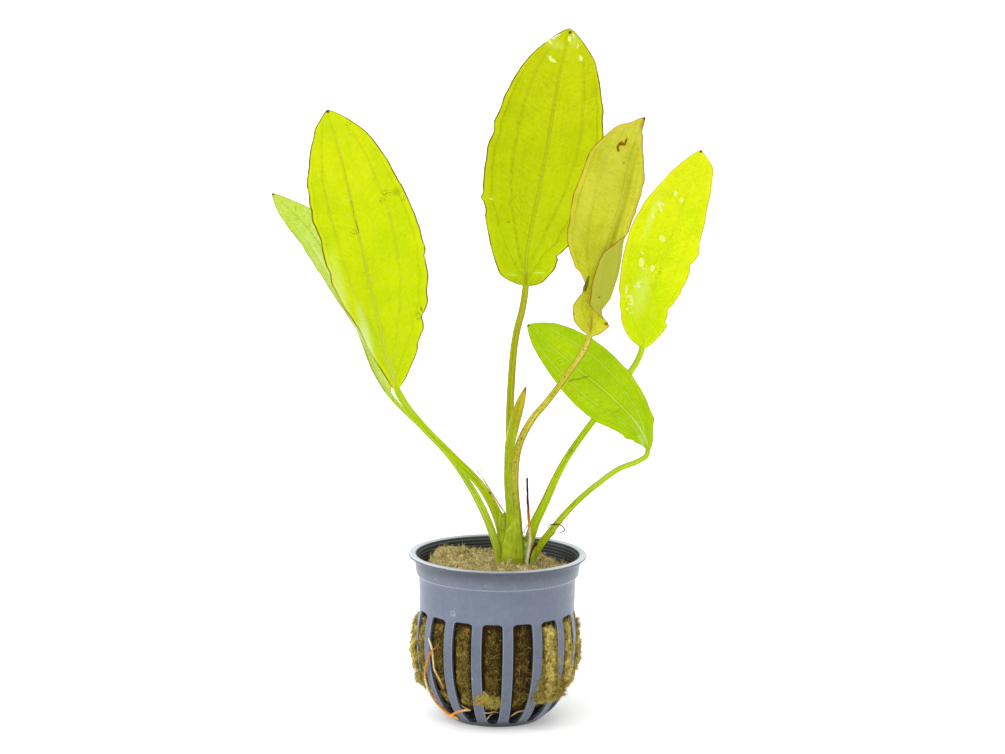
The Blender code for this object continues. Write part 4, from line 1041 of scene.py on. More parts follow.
def cross_veins(add, look, place, spacing, across, along, underside):
    """Cross-veins that rise outwards from the midrib: broken pale dashes, here and there in
    rungs. Returns their share and the share of the dark troughs between them."""
    far = add("Math.ABSOLUTE", across)
    drift = add("TexNoise", place, Scale=1 / (12 * MM), Detail=1.0)
    rise = add("Math.MULTIPLY_ADD", far, -look["rise"], along)
    rise = add("Math.MULTIPLY_ADD", drift, 3.0, rise)
    wave = add("Math.SINE", add("Math.MULTIPLY", rise, 2 * math.pi * MM / spacing))
    wave = add("MapRange.SMOOTHSTEP", wave, -0.3, 1.0)
    dashes = add("CombineXYZ", add("Math.MULTIPLY", across, 0.30), rise, underside)
    dashes = add("TexNoise", dashes, Scale=1.2, Detail=2.0, Roughness=0.6)
    rungs = add("MapRange", dashes, 0.40, 0.62, 0.0, look["rungs"])
    cross = add("Math.MAXIMUM", add("MapRange.SMOOTHSTEP", dashes, 0.52, 0.74),
                add("Math.MULTIPLY", wave, rungs))
    cross = add("Math.MULTIPLY", cross, add("MapRange", far, 0.0, 12.0, 1.0, 0.5))
    return cross, add("MapRange.SMOOTHSTEP", dashes, 0.42, 0.24, 0.0, look["cross"])


def vein_lines(add, look, along, growth, underside, lines):
    """Side veins and midrib: each a straw line between two dark ones, beaded along its length and
    fainter at the tip. Returns the share of the lines and that of their dark sides."""
    beads = add("TexNoise", add("CombineXYZ", 0.0, along, underside), Scale=1.1, Detail=2.0)
    beads = add("MapRange", beads, 0.35, 0.62, 0.45, 1.0)
    fading = add("MapRange", growth, look["veins_fade"], 1.0, 1.0, 0.25)
    shares = []
    for distance, key, width in lines:
        strength = add("Math.MULTIPLY", add("Math.MULTIPLY", beads, look[key]), fading)
        core = add("MapRange.SMOOTHSTEP", distance, 0.23 + width, 0.05 + 0.5 * width)
        side = add("Math.ABSOLUTE", add("Math.SUBTRACT", distance, 0.34 + width))
        side = add("MapRange.SMOOTHSTEP", side, 0.22, 0.04)
        shares.append([add("Math.MULTIPLY", part, strength) for part in (core, side)])
    return [add("Math.MAXIMUM", *pair) for pair in zip(*shares)]


def mark_layers(add, marks, length, across, along):
    """Marks: ellipses in the leaf's own millimetres, with a rough outline."""
    spot = add("CombineXYZ", across, along, 0.0)
    uneven = add("TexNoise", spot, Scale=1.6, Detail=2.0)
    dots = add("MapRange", add("TexNoise", spot, Scale=2.6, Detail=1.0), 0.56, 0.62)
    layers = []
    for at, middle, wide, tall, strength, kind, colour, *turn in marks:
        local = add("Mapping", spot, vector_type="TEXTURE", Location=(middle, at * length, 0.0),
                    Rotation=(0.0, 0.0, math.radians(sum(turn))), Scale=(wide, tall, 1.0))
        gap = add("VectorMath.LENGTH", local).outputs["Value"]
        gap = add("Math.MULTIPLY_ADD", uneven, MARK_ROUGHNESS[kind], gap)
        mask = add("MapRange.SMOOTHSTEP", gap, *MARK_EDGES[kind], 0.0, strength)
        if kind == "dots":
            mask = add("Math.MULTIPLY", mask, dots)
        layers.append((mask, colour))
    return layers


def leaf_material(name, look, marks, length, settings):
    """A living leaf: a thin waxy skin over wet green tissue that passes nearly half of the light,
    with straw-coloured veins, fine cross-veins, a purple-brown margin and stains. Painted light is
    laid on as well: a glow inside the margin, highlights on the brims of the stalk's channel, and
    pale and white marks of sheen and water glints. Its colour is laid on in layers, each with its
    own share."""
    material, add, place = start_material(name)
    across, edge, vein, along, growth, underside, lobe = (
        add("Attribute", attribute_name=key).outputs["Fac"]
        for key in ("across_mm", "edge_mm", "vein_mm", "along_mm", "growth", "underside", "lobe"))
    on_blade = add("MapRange.SMOOTHSTEP", growth, 0.0, 0.04)
    on_stalk = add("Math.SUBTRACT", 1.0, on_blade)
    clouds = add("TexNoise", place, Scale=1 / (11 * MM), Detail=5.0, Roughness=0.6)
    strands = add("CombineXYZ", add("Math.MULTIPLY", across, 1.6),
                  add("Math.MULTIPLY", along, 0.06), underside)
    strands = add("TexNoise", strands, Scale=1.0, Detail=4.0, Roughness=0.65)
    far = add("Math.ABSOLUTE", across)
    veins = (*cross_veins(add, look, place, settings.cross_vein_spacing, across, along, underside),
             *vein_lines(add, look, along, growth, underside,
                         ((vein, "veins", 0.0), (far, "midrib", look["midrib_width"]))))
    cross, trough, line, dusk = (add("Math.MULTIPLY", share, on_blade) for share in veins)
    straw = add("Mix", add("MapRange", growth, 0.15, 0.8), linear(look["vein_low"]),
                linear(look["vein"]))
    # The margin is a broken line, and inside it a band is painted brighter, a painted glow along
    # the edge.
    glow = add("MapRange.SMOOTHSTEP", edge, 2.4, 0.4, 0.0, look["glow"])
    broken = add("TexNoise", place, Scale=1 / (4 * MM), Detail=2.0)
    rim = add("Math.MULTIPLY", add("MapRange.SMOOTHSTEP", edge, look["margin_width"], 0.12),
              add("MapRange", broken, 0.30, 0.5, 0.5, 1.0))
    layers = (*ground_layers(add, look, growth, clouds),
              *fibre_layers(add, look, place, strands, growth),
              *stalk_layers(add, look, place, lobe, on_stalk),
              (trough, look["shade"]),
              (add("Math.MULTIPLY", cross, look["cross"]), look["vein_light"]),
              (glow, look["edge"]),
              (add("Math.MULTIPLY", dusk, look["vein_edge"]), look["vein_dark"]),
              (line, straw),
              (add("Math.MULTIPLY", underside, look["pale_under"]), look["under"]),
              (add("Math.MULTIPLY", rim, look["margin_strength"]), look["margin"]),
              *mark_layers(add, marks, length, across, along))
    green = linear(look["foot"])
    for share, colour in layers:
        green = add("Mix", share, green, straw if colour is straw else linear(colour))

    skin = add("TexNoise", place, Scale=1 / (0.8 * MM), Detail=2.0)
    rough = add("MapRange", clouds, 0.3, 0.7, look["gloss"], look["gloss"] + 0.16)
    height = add("Math.MULTIPLY_ADD", cross, 0.5, add("Math.MULTIPLY", skin, 0.5))
    height = add("Math.MULTIPLY_ADD", line, look["vein_bump"], height)
    height = add("Math.MULTIPLY_ADD", strands, add("Math.MULTIPLY", on_stalk, 1.5), height)
    bump = add("Bump", Strength=0.5, Distance=0.12 * MM, Height=height)
    surface = add("BsdfPrincipled", Base_Color=green, Roughness=rough, IOR=1.42,
                  Specular_IOR_Level=0.04, Normal=bump)
    passed = add("BsdfTranslucent", Color=add("Mix", 0.25, green, linear(look["through"])),
                 Normal=bump)
    add("OutputMaterial", add("MixShader", settings.light_passed, surface, passed))
    return material


# Tones along a leaf, -1 at the foot of the stalk, 0 where the blade starts, 1 at the tip: where a
# tone starts and is full, and its name.
TONE_STOPS = ((-1.0, -0.45, "stalk"), (-0.03, 0.03, "low"), (0.03, 0.50, "middle"),
              (0.50, 1.0, "tip"))

# How a mark fades: distances in its own half-sizes where it starts and where it is full, and how
# rough its outline is.
MARK_EDGES = {"solid": (1.25, 1.0), "soft": (1.5, 0.3), "dots": (1.3, 0.7)}
MARK_ROUGHNESS = {"solid": 0.6, "soft": 0.3, "dots": 0.3}
BROWN = "#6b3a0c"
# Marks: share of the blade's length (below 0 on the stalk), distance across from the midrib,
# half-sizes across and along, strength, kind, colour, and the turn in degrees where it isn't 0.
MARKS = {
    "leaf_left": (
        # Painted sheen: pale patches on the left half, for light on the shining skin.
        (.40, -9.4, 2.2, 13.0, .38, "soft", "#e8f0a8"),
        (.21, -4.9, 1.7, 12.0, .6, "soft", "#eaf2bc"),
        (.695, 10.8, 1.9, 1.3, .9, "dots", "#2f3a06"), (.672, 8.9, 1.2, .9, .9, "dots", "#2f3a06"),
        (.663, 15.1, .9, 1.2, .9, "dots", "#2f3a06"), (.69, 13.6, 1.4, 1.3, .5, "soft", "#9aa80c"),
        (.584, -1.3, 1.3, 1.3, .95, "dots", "#2c3a04"), (.60, .1, .25, 2.6, .8, "solid", "#8a8a1e"),
        (.65, .0, .28, 2.4, .85, "dots", "#2f3406"), (.685, .1, .25, 1.6, .8, "dots", "#4a4a08"),
        (.257, 11.9, .9, 1.8, .95, "dots", "#30400a"),
        (.28, 13.3, .35, 1.1, .7, "solid", "#7c8a14"), (.935, 4.9, 1.0, .7, .9, "dots", "#43500c"),
        (.90, 4.3, .5, .9, .7, "dots", "#43500c"), (.80, -7.8, .7, .7, .3, "solid", "#f0f46a"),
        (.996, 0.0, .7, .7, .9, "solid", "#43200c"), (-.52, 1.1, .35, .7, .9, "solid", "#2c2a08"),
        (-.40, .7, .16, 9.0, .5, "soft", "#6d8a0a"), (-.62, -.9, .3, 14.0, .5, "soft", "#e3e47c"),
        (-.25, -.5, .18, 9.0, .45, "soft", "#e6ec90")),
    "leaf_left_rear": (
        (.3, -2.5, 1.3, 16.0, .65, "soft", "#f4f8dc"), (.35, 2.2, .5, 20.0, .6, "soft", "#f0f7cc"),
        (.62, -4.0, 1.2, 12.0, .5, "soft", "#eef6c8"), (.995, 0.0, .7, .7, .8, "solid", "#5a3416")),
    "leaf_tall": (
        # Near the tip the pale and white marks are painted sheen and glints of water; the darkest is
        # the dry tip.
        (.985, .3, .55, .6, .95, "solid", "#241c06"), (.965, .6, .5, .8, .6, "solid", "#f4f7dc"),
        (.93, -3.6, 3.2, 1.5, .45, "soft", "#e2eb86"),
        (.955, 2.2, 1.6, 2.2, .35, "soft", "#dfe98a"),
        (.95, -5.2, 1.8, .35, .8, "solid", "#f6f9e4"), (.905, 4.9, .35, .9, .6, "solid", "#eef4b8"),
        (.868, -3.2, 1.3, .34, .95, "solid", "#ffffff", -18),
        (.880, -4.2, .5, .3, .9, "solid", "#ffffff"),
        (.975, 1.6, .9, .26, .8, "solid", "#fdfef0", -50),
        (.94, 3.6, .24, .9, .8, "solid", "#f8fbe0"),
        (.962, -3.6, 1.6, .30, .85, "solid", "#fdfef2", 38),
        (.935, -6.3, 1.2, .26, .8, "solid", "#fbfdea", 38),
        (.92, -1.2, .3, 1.6, .5, "dots", "#f4f8d0"), (.90, 1.4, .3, 2.2, .5, "dots", "#eef4b8"),
        (.44, -13.0, 1.0, 1.4, .5, "dots", "#8a8c10"),
        (.225, -7.4, .5, .45, .75, "solid", "#8f8a12"),
        (.085, -3.7, .7, .55, .7, "dots", "#6d6c0c"), (.30, -14.2, .9, .3, .6, "solid", "#f2f5c8"),
        (.12, -13.2, .35, 1.6, .6, "solid", "#eef4c0"),
        (.04, -4.5, 1.9, .30, .6, "solid", "#e6ec84"), (.05, 3.8, 1.9, .30, .6, "solid", "#e6ec84"),
        (.19, 7.4, 1.0, .8, .4, "dots", "#8f9410"), (.03, 0.0, .55, 2.6, .5, "soft", "#857b18"),
        (-.62, .55, .28, 6.0, .7, "soft", "#e6ea9a"), (-.30, .2, .2, 12.0, .5, "soft", "#d9c05a"),
        (-.72, -.7, .35, 9.0, .6, "soft", "#9ccc1c")),
    "leaf_brown_edged": (
        # Painted sheen: two broad pale patches on the left half.
        (.72, -5.5, 4.2, 9.0, .35, "soft", "#e3e660"),
        (.55, -10.0, 2.0, 12.0, .30, "soft", "#e6e86a"),
        (.872, -3.0, .42, 1.0, .95, "solid", "#8f4a08"),
        (.856, -3.4, .85, .50, .95, "solid", "#9a560c"),
        (.853, -4.3, .75, .55, .95, "solid", "#8a4c0a"),
        (.840, -4.7, .42, .80, .95, "solid", "#7d4208"),
        (.827, -4.3, .50, .60, .9, "solid", "#8a4c0a"),
        (.862, -3.9, .7, .4, .9, "solid", "#b87414"), (.783, -1.6, .6, .8, .85, "dots", BROWN),
        (.734, -4.4, 1.1, .6, .7, "dots", BROWN), (.60, 1.4, 1.1, 18.0, .42, "soft", "#8f8a0c"),
        # The pale mark along the folded flap's crest is a painted highlight.
        (.45, 1.0, 1.0, 9.0, .45, "soft", "#8a8208"), (.31, 5.3, .5, 9.0, .55, "soft", "#eef0cc"),
        (.235, -3.0, .55, 3.2, .9, "solid", "#5a6a1c"),
        (.201, 9.0, .35, .35, .9, "solid", "#5a3a0a"), (.055, .1, .45, 3.4, .6, "soft", "#a86a1c"),
        (.075, 4.9, .9, .6, .8, "solid", "#7c4a10"), (-.72, 0.0, .14, 9.0, .8, "dots", "#6b4410"),
        (-.60, .55, .1, 8.0, .5, "soft", "#8a5a1c"), (.03, 3.4, .8, .5, .8, "dots", BROWN),
        (.098, -5.7, .45, .45, .8, "solid", "#6b3410"), (.97, .2, .9, 2.2, .45, "soft", "#a8542a"),
        (.995, 0.0, .8, .8, .9, "solid", "#7a2f14")),
    "leaf_right": (
        # Painted sheen: two broad pale patches.
        (.25, -4.0, 3.0, 8.0, .35, "soft", "#eef59a"),
        (.62, -8.6, 1.3, 9.0, .30, "soft", "#eef7a0"),
        # Painted glints: the white marks beside the drops stand for light on the water film.
        (.692, -6.9, 1.3, .28, .95, "solid", "#ffffff", -14),
        (.677, -7.4, .5, .22, .9, "solid", "#fdfef6"),
        (.541, -2.6, .55, .16, .9, "solid", "#fbfdea"),
        (.766, -3.4, .6, .2, .8, "solid", "#fbfdea"), (.744, -.8, .4, .2, .8, "solid", "#fbfdea"),
        (.402, -6.5, .9, .24, .95, "solid", "#ffffff", 20),
        (.434, -7.6, .7, .22, .9, "solid", "#ffffff", -25),
        (.366, -5.6, .5, .2, .8, "solid", "#fbfdea"),
        (.300, -5.6, .8, .2, .9, "solid", "#ffffff", 10),
        (.275, -6.2, .6, .2, .9, "solid", "#ffffff", 30),
        (.245, -8.6, .28, 1.0, .95, "solid", "#ffffff", 12),
        (.222, -7.6, .8, .24, .95, "solid", "#ffffff", 35),
        (.190, -6.3, .9, .22, .9, "solid", "#ffffff", 10),
        (.165, -6.9, .5, .24, .9, "solid", "#ffffff", -20),
        (.262, -8.9, .22, .7, .9, "solid", "#ffffff"), (.150, -5.6, .6, .2, .7, "solid", "#fbfdea"),
        (.995, 0.0, .5, .6, .9, "solid", "#6d2c1c"), (.372, -.2, .35, 2.6, .9, "dots", "#5c6a08"),
        (.60, 1.5, .4, .5, .6, "dots", "#6f8a10"), (.64, -.4, .3, .5, .5, "dots", "#8a9a1c"),
        (-.617, -.3, .8, 1.1, .95, "dots", "#1c2a04"), (-.645, -.6, .5, .9, .95, "dots", "#24300a"),
        (-.55, 0.0, .25, 1.6, .6, "dots", "#2f3a06"),
        # Painted highlight: a white line down the stalk.
        (-.30, -.25, .13, 9.0, .85, "soft", "#f4f8dc"),
        (-.45, .55, .2, 16.0, .5, "soft", "#5f8a06"), (-.82, .3, .25, 7.0, .4, "soft", "#dfe66c"),
        (-.80, -1.2, .4, 11.0, .7, "soft", "#b08a24"), (-.72, 0.0, .2, 9.0, .5, "soft", "#7fae0c")),
    "leaf_bent": (
        (.608, -4.0, .24, 1.6, .9, "solid", "#7f7a50", 61),
        (.583, -2.3, .20, 1.5, .85, "solid", "#77701c", 52),
        (.560, -.5, .26, 1.5, .8, "solid", "#8c7424", 52),
        (.560, -.3, 1.6, .55, .5, "dots", "#c8661c", -38),
        (-.575, -.2, .5, 1.2, .95, "dots", "#1c2404"), (-.54, -.5, .4, .8, .9, "dots", "#2a3408"),
        (-.70, 0.0, .2, 6.0, .5, "soft", "#e3e88c"), (-.35, -.2, .2, 9.0, .5, "soft", "#e0ec8c"),
        (.566, -6.5, .4, .9, .55, "solid", "#c9a860"), (.36, 2.0, .4, .5, .5, "dots", "#5e8a08"),
        (.13, 5.2, .5, .9, .7, "dots", "#5a7a0a"), (.06, -1.2, .8, 2.4, .45, "soft", "#dbe896"),
        (.13, 0.0, .5, 5.0, .6, "soft", "#dce694"), (.996, 0.0, .5, .6, .95, "solid", "#26300a")),
    "young_leaf": (
        (.97, 0.0, .6, 1.2, .6, "solid", "#9a5a2a"), (.62, 1.3, .3, 6.0, .5, "soft", "#b8862c"),
        (.5, -1.6, .3, 9.0, .6, "soft", "#dfe8a0")),
}
# Looks: colours, shares of the layers and widths that all leaves have, and then each leaf's own.
BASE_LOOK = dict(
    foot="#b4c31c", stalk="#b9d016", low="#d3e402", middle="#dde902", tip="#e6ea0e",
    second="#cbe000", mottle=0.75, streak="#dcea50", shade="#7c9a06", channel_highlight=0.45, vein_low="#d6d67c",
    vein="#b9b13e", vein_light="#eaf16a", cross=0.30, rise=0.6, glow=0.45, edge="#eff21c",
    veins=0.62, midrib=0.85, midrib_width=0.06, under="#c6da5c", pale_under=0.5, margin="#93452a",
    margin_width=0.40, margin_strength=0.9, gloss=0.36, vein_bump=0.4, verge="#8f5a22",
    verge_left=0.2, verge_right=0.2, stalk_dots=0.0, grain=0.6, rungs=0.25, veins_fade=0.7,
    vein_edge=0.45, vein_dark="#93a010", through="#e4f200")
LOOKS = {
    "leaf_left": dict(
        grain=0.25, rungs=0.45, cross=0.24, vein_edge=0.25, vein_dark="#9aa014", veins=0.9,
        midrib=1.0, margin="#5a2430", margin_strength=1.0, margin_width=0.58, verge_left=0.1,
        verge_right=0.1, foot="#dce02c", shade="#92ac12"),
    "leaf_left_rear": dict(
        low="#dcee78", middle="#e4f08e", tip="#dcec62", second="#cfe63c", vein="#b4c864",
        vein_low="#d2e09a", cross=0.5, vein_light="#f7fad4", veins=0.5, margin_strength=0.6,
        glow=0.0, grain=0.5, streak="#dcea78", foot="#e8e840", stalk="#b0d61a", shade="#8cb014"),
    "leaf_tall": dict(
        low="#c6d800", middle="#ced800", tip="#d6dc08", second="#b4c400", vein="#c4a83c",
        vein_low="#c9bd54", margin="#4a1e20", margin_width=0.60, mottle=0.35, vein_light="#e6ec5c",
        vein_dark="#6f8006", vein_edge=0.6, grain=0.30, rungs=0.4, foot="#a8b012", stalk="#b4bc14",
        streak="#dcc45c", shade="#848c0c", margin_strength=1.0, edge="#e6e41c", veins=0.55,
        midrib=0.8, verge="#8a6a1c", verge_left=0.5, verge_right=0.6, stalk_dots=0.35),
    "leaf_brown_edged": dict(
        low="#dadf2c", middle="#dcdf38", tip="#dfde4c", second="#c4c814", vein="#cfc85c",
        vein_low="#d2c454", vein_light="#ecec6c", cross=0.36, under="#bcc24c", pale_under=0.8,
        vein_dark="#94940c", vein_edge=0.6, grain=0.5, rungs=1.0, veins=0.55, midrib=0.6,
        midrib_width=0.12, stalk_dots=0.8, verge="#8a5a1e", margin="#a85a38", margin_strength=1.0,
        foot="#d2e03c", stalk="#e6de58", streak="#f2ec92", shade="#b0a41c", channel_highlight=0.3, rise=0.35,
        through="#e4e020", edge="#e9dc52", glow=0.4, verge_left=0.5, verge_right=0.6),
    "leaf_right": dict(
        low="#e0f000", middle="#eef40e", tip="#f2f41c", second="#d8ec00", vein="#c4cc3c",
        vein_low="#dde46a", stalk="#b8d81c", margin_strength=0.6, margin_width=0.34,
        shade="#8fae10", cross=0.22, veins=0.35, midrib=0.35, edge="#f8f62c", channel_highlight=0.6,
        verge="#96742a", verge_left=0.6, verge_right=0.1, rungs=0.1, veins_fade=0.2, vein_edge=0.25,
        margin="#9a6a4c", streak="#d4ec44", foot="#b4d014"),
    "leaf_bent": dict(
        low="#aecb00", middle="#bfd900", tip="#bed804", second="#a2c800", vein="#dfea70",
        vein_low="#e4ec8c", vein_light="#d4e66c", cross=0.34, veins=0.6, midrib_width=0.0,
        margin="#7a7a1c", margin_strength=0.4, gloss=0.30, glow=0.15, vein_bump=1.0, edge="#c8de10",
        stalk="#c0da20", foot="#f2ea2c", streak="#e0ec48", shade="#a3b414", channel_highlight=0.5,
        verge="#8a5c1c", verge_left=0.6, verge_right=0.35, grain=0.45, rungs=0.4,
        vein_dark="#84aa08", vein_edge=0.5, stalk_dots=0.3),
    "young_leaf": dict(
        foot="#98a618", stalk="#98aa10", low="#96a810", middle="#b9bf1c", tip="#eecb4c",
        streak="#c6d060", shade="#7f9a0c", vein="#9a8a2a", margin="#8d4f1e", margin_strength=0.4,
        glow=0.0, cross=0.1, channel_highlight=0.6, stalk_dots=0.3, verge="#9a8420"),
}
LEAF_SLOTS = {
    "leaf_left": "leaf_green", "leaf_left_rear": "leaf_pale", "leaf_tall": "leaf_green",
    "leaf_brown_edged": "leaf_olive", "leaf_right": "leaf_bright", "leaf_bent": "leaf_deep",
    "young_leaf": "young_green",
}


# ---- crown, threads and drops ------------------------------------------------------------------
def crown_form():
    """The short stem: its outline turned round its axis, closed at both ends."""
    outline = np.array(CROWN_OUTLINE)
    fine = np.linspace(0, 1, CROWN_GRID)
    steps = np.linspace(0, 1, len(outline))
    radius, height = (np.interp(fine, steps, outline[:, i])[:, None] for i in range(2))
    angle = np.arange(CROWN_GRID)[None, :] * 2 * math.pi / CROWN_GRID
    rings = place_on_circle(radius, angle, height) + (*CROWN_PLACE, 0.0)
    ends = [[*CROWN_PLACE, CROWN_OUTLINE[0][1]], [*CROWN_PLACE, CROWN_TOP]]
    form = closed_grid(rings, ends)
    return *form, np.zeros((len(form[0]), 2))


def sheath_form(foot, half, tip_half, low, high, shift, dip, sink, facing, pale, seed):
    """A thin sheath: a strip curved round the stalks, with two faces a short way apart that meet
    at its edges. At a share u of its height its half-width is tip + (foot - tip) * (1 - u^2.2),
    its middle has moved sideways by shift * u^2 and inwards by sink * u^3, and the middle of its
    upper edge dips by u^4."""
    rows, columns = SHEATH_GRID
    up = np.linspace(0, 1, rows)[:, None]
    across = np.linspace(-1, 1, columns)[None, :]
    width = tip_half + (half - tip_half) * (1 - up ** 2.2)
    side, out = facing_axes(facing)
    x = across * width + shift * up ** 2
    depth = (-0.5 * across ** 2 - 0.04 * across ** 8) * width + 1.9 - sink * up ** 3
    grain = np.stack([x, np.broadcast_to(up * (high - low), SHEATH_GRID)], -1)
    depth = depth + 0.12 * ripple(grain, 3.0, seed)
    height = low + up * (high - low) - dip * (1 - across ** 2) * up ** 4
    middle = (np.array([*foot, 0.0]) + x[..., None] * side + depth[..., None] * out
              + height[..., None] * UP)
    skin = SHEATH_HALF_SKIN * np.sqrt(np.clip(1 - across ** 2, 0, 1))[..., None] * out
    loop = np.concatenate([middle + skin, (middle - skin)[:, -2:0:-1]], axis=1)
    columns = loop.shape[1]
    ends, tips = loop_ends(rows, columns)
    way = np.repeat(up, columns)
    values = np.stack([way, pale * (0.35 + 0.65 * way ** 2)], axis=1)
    return loop.reshape(-1, 3), np.concatenate([grid_quads(rows, columns), ends]), tips, values


def sheath_material(settings):
    """Sheath tissue at the crown: thin, moist, streaked lengthwise, nearly clear at its edges."""
    material, add, place = start_material("sheath_membrane")
    way, clear = (add("Attribute", attribute_name=key).outputs["Fac"] for key in ("way", "clear"))
    stretched = add("Mapping", place, Scale=(1.0, 1.0, 0.10))
    streaks = add("TexNoise", stretched, Scale=1 / (0.8 * MM), Detail=4.0, Roughness=0.65)
    clouds = add("TexNoise", place, Scale=1 / (5 * MM), Detail=2.0)
    layers = ((add("MapRange", clouds, 0.35, 0.65), "#b8cc16"),
              (add("MapRange", streaks, 0.50, 0.72, 0.0, 0.8), "#d8de72"),
              (add("MapRange", streaks, 0.46, 0.28, 0.0, 0.8), "#7f8c14"),
              (add("MapRange", way, 0.28, 0.0, 0.0, 0.7), "#8f8420"), (clear, "#e6efc8"))
    colour = linear("#d0e01a")
    for share, shade in layers:
        colour = add("Mix", share, colour, linear(shade))
    bump = add("Bump", Strength=0.5, Distance=0.15 * MM, Height=streaks)
    surface = add("BsdfPrincipled", Base_Color=colour, Roughness=0.38, Specular_IOR_Level=0.2,
                  Normal=bump)
    passed = add("BsdfTranslucent", Color=colour, Normal=bump)
    add("OutputMaterial", add("MixShader", settings.light_passed, surface, passed))
    return material


def strand_material(name, stops):
    """Dried plant fibre such as a root or a dead stalk: matt, streaked lengthwise, its colour
    changing along the strand through the given stops of place and colour."""
    material, add, place = start_material(name)
    way = add("Attribute", attribute_name="way").outputs["Fac"]
    colour = linear(stops[0][1])
    for (low, _), (high, shade) in zip(stops, stops[1:]):
        step = add("MapRange.SMOOTHSTEP", way, low, high)
        colour = add("Mix", step, colour, linear(shade))
    grain = add("TexNoise", place, Scale=1 / (0.8 * MM), Detail=4.0, Roughness=0.65)
    spread = add("MapRange", grain, 0.35, 0.65, 0.72, 1.15)
    grey = add("CombineColor", spread, spread, spread)
    colour = add("Mix.MULTIPLY", 1.0, colour, grey)
    bump = add("Bump", Strength=0.6, Distance=0.12 * MM, Height=grain)
    add("OutputMaterial", add("BsdfPrincipled", Base_Color=colour, Roughness=0.6,
                              Specular_IOR_Level=0.03, Normal=bump))
    return material


def along_ribs(route):
    """Turn places given on the pot's outside into points."""
    turn, distance, height = np.array(route, dtype=float).T
    return place_on_circle(outside_radius(height) + distance, np.radians(turn), height)


def drop_form(place, normal, tangent, long, wide, turn):
    """A drop of water as a low dome: half an ellipsoid over a flat foot that lies on the leaf."""
    turn = math.radians(turn)
    side = unit(np.cross(normal, tangent))
    ahead = unit(tangent * math.cos(turn) + side * math.sin(turn))
    side = np.cross(normal, ahead)
    rows, columns = DROP_GRID
    up = np.linspace(0, math.pi / 2, rows + 1)[:-1, None]
    about = np.arange(columns)[None, :] * 2 * math.pi / columns
    top = normal * wide * 0.5
    ring = ((np.cos(up) * np.cos(about))[..., None] * ahead * long
            + (np.cos(up) * np.sin(about))[..., None] * side * wide
            + (np.sin(up) * np.ones_like(about))[..., None] * top) + place
    form = closed_grid(ring, [place, place + top])
    return *form, np.zeros(len(form[0]))


def water_material():
    """Beads of water drawn opaque, in a pale leaf colour painted in for the leaf seen through them,
    under a hard gloss.
    """
    material, add, _ = start_material("water")
    add("OutputMaterial", add("BsdfPrincipled", Base_Color=linear("#dbe860"), Roughness=0.04,
                              IOR=1.33, Specular_IOR_Level=1.0, Coat_Weight=1.0,
                              Coat_Roughness=0.02))
    return material


def floor_material(settings):
    """Smooth white paint, with a faint cloudiness and a little light of its own."""
    material, add, place = start_material("painted_floor")
    tone = add("TexNoise", place, Scale=3.0, Detail=2.0)
    colour = add("Mix", tone, linear(settings.floor), linear("#fcfcfe"))
    add("OutputMaterial", add("BsdfPrincipled", Base_Color=colour, Roughness=0.5,
                              Specular_IOR_Level=0.3, Emission_Color=(1, 1, 1, 1),
                              Emission_Strength=settings.glow))
    return material


# ---- settings ------------------------------------------------------------------------------------
def colour_property(name, description, default):
    """A colour that a user may change, given as an sRGB hex value."""
    triple = [int(default[i:i + 2], 16) / 255 for i in (1, 3, 5)]
    return FloatVectorProperty(name=name, description=description, subtype="COLOR_GAMMA", size=3,
                               min=0.0, max=1.0, default=triple)


class PotSettings(bpy.types.PropertyGroup):
    """Finish of the net pot."""
    plastic: colour_property("Plastic", "Lighter colour of the wall", "#687184")
    shade: colour_property("Plastic shade", "Darker colour of the wall's mottle", "#5b6475")
    # The inside's colour is painted shade: the same plastic darkened for the shade within the pot.
    inner: colour_property("Inside", "Colour of the inside of the wall", "#151a19")
    edge_radius: FloatProperty(name="Edge radius", description="Rounding of the slots' edges",
                               default=0.22 * MM, min=0.0, unit="LENGTH", precision=5)


class WoolSettings(bpy.types.PropertyGroup):
    """Fibres and colours of the rock wool."""
    # The wool's colours run from wet to straw by its pale share, which is partly painted light and
    # shade.
    straw: colour_property("Straw", "Colour of the driest fibres", "#d9cb92")
    gold: colour_property("Gold", "Colour of dry fibres at the pot's side", "#dcc75c")
    olive: colour_property("Olive", "Colour of damp fibres", "#86722e")
    wet: colour_property("Wet", "Colour of soaked wool", "#34240c")
    top_fibres: IntProperty(name="Fibres on top", description="Fibres over the wool's top",
                            default=8500, min=0)
    slot_fibres: IntProperty(name="Fibres in slots", description="Fibres at the slots",
                             default=13000, min=0)
    tuft_fibres: IntProperty(name="Fibres on tufts", description="Fibres on the hanging tufts",
                             default=11000, min=0)


class LeafSettings(bpy.types.PropertyGroup):
    """Make of the leaves."""
    blade_thickness: FloatProperty(name="Blade thickness", description="Of a blade near its middle",
                                   default=0.36 * MM, min=0.0001, unit="LENGTH", precision=5)
    midrib_thickness: FloatProperty(name="Midrib", description="How far a midrib stands out below",
                                    default=1.15 * MM, min=0.0001, unit="LENGTH", precision=5)
    cross_vein_spacing: FloatProperty(name="Cross-vein spacing",
                                      description="Distance between two fine cross-veins",
                                      default=0.85 * MM, min=0.0001, unit="LENGTH", precision=5)
    light_passed: FloatProperty(name="Light passed", description="Share of light through a blade",
                                default=0.45, min=0.0, max=1.0, subtype="FACTOR")


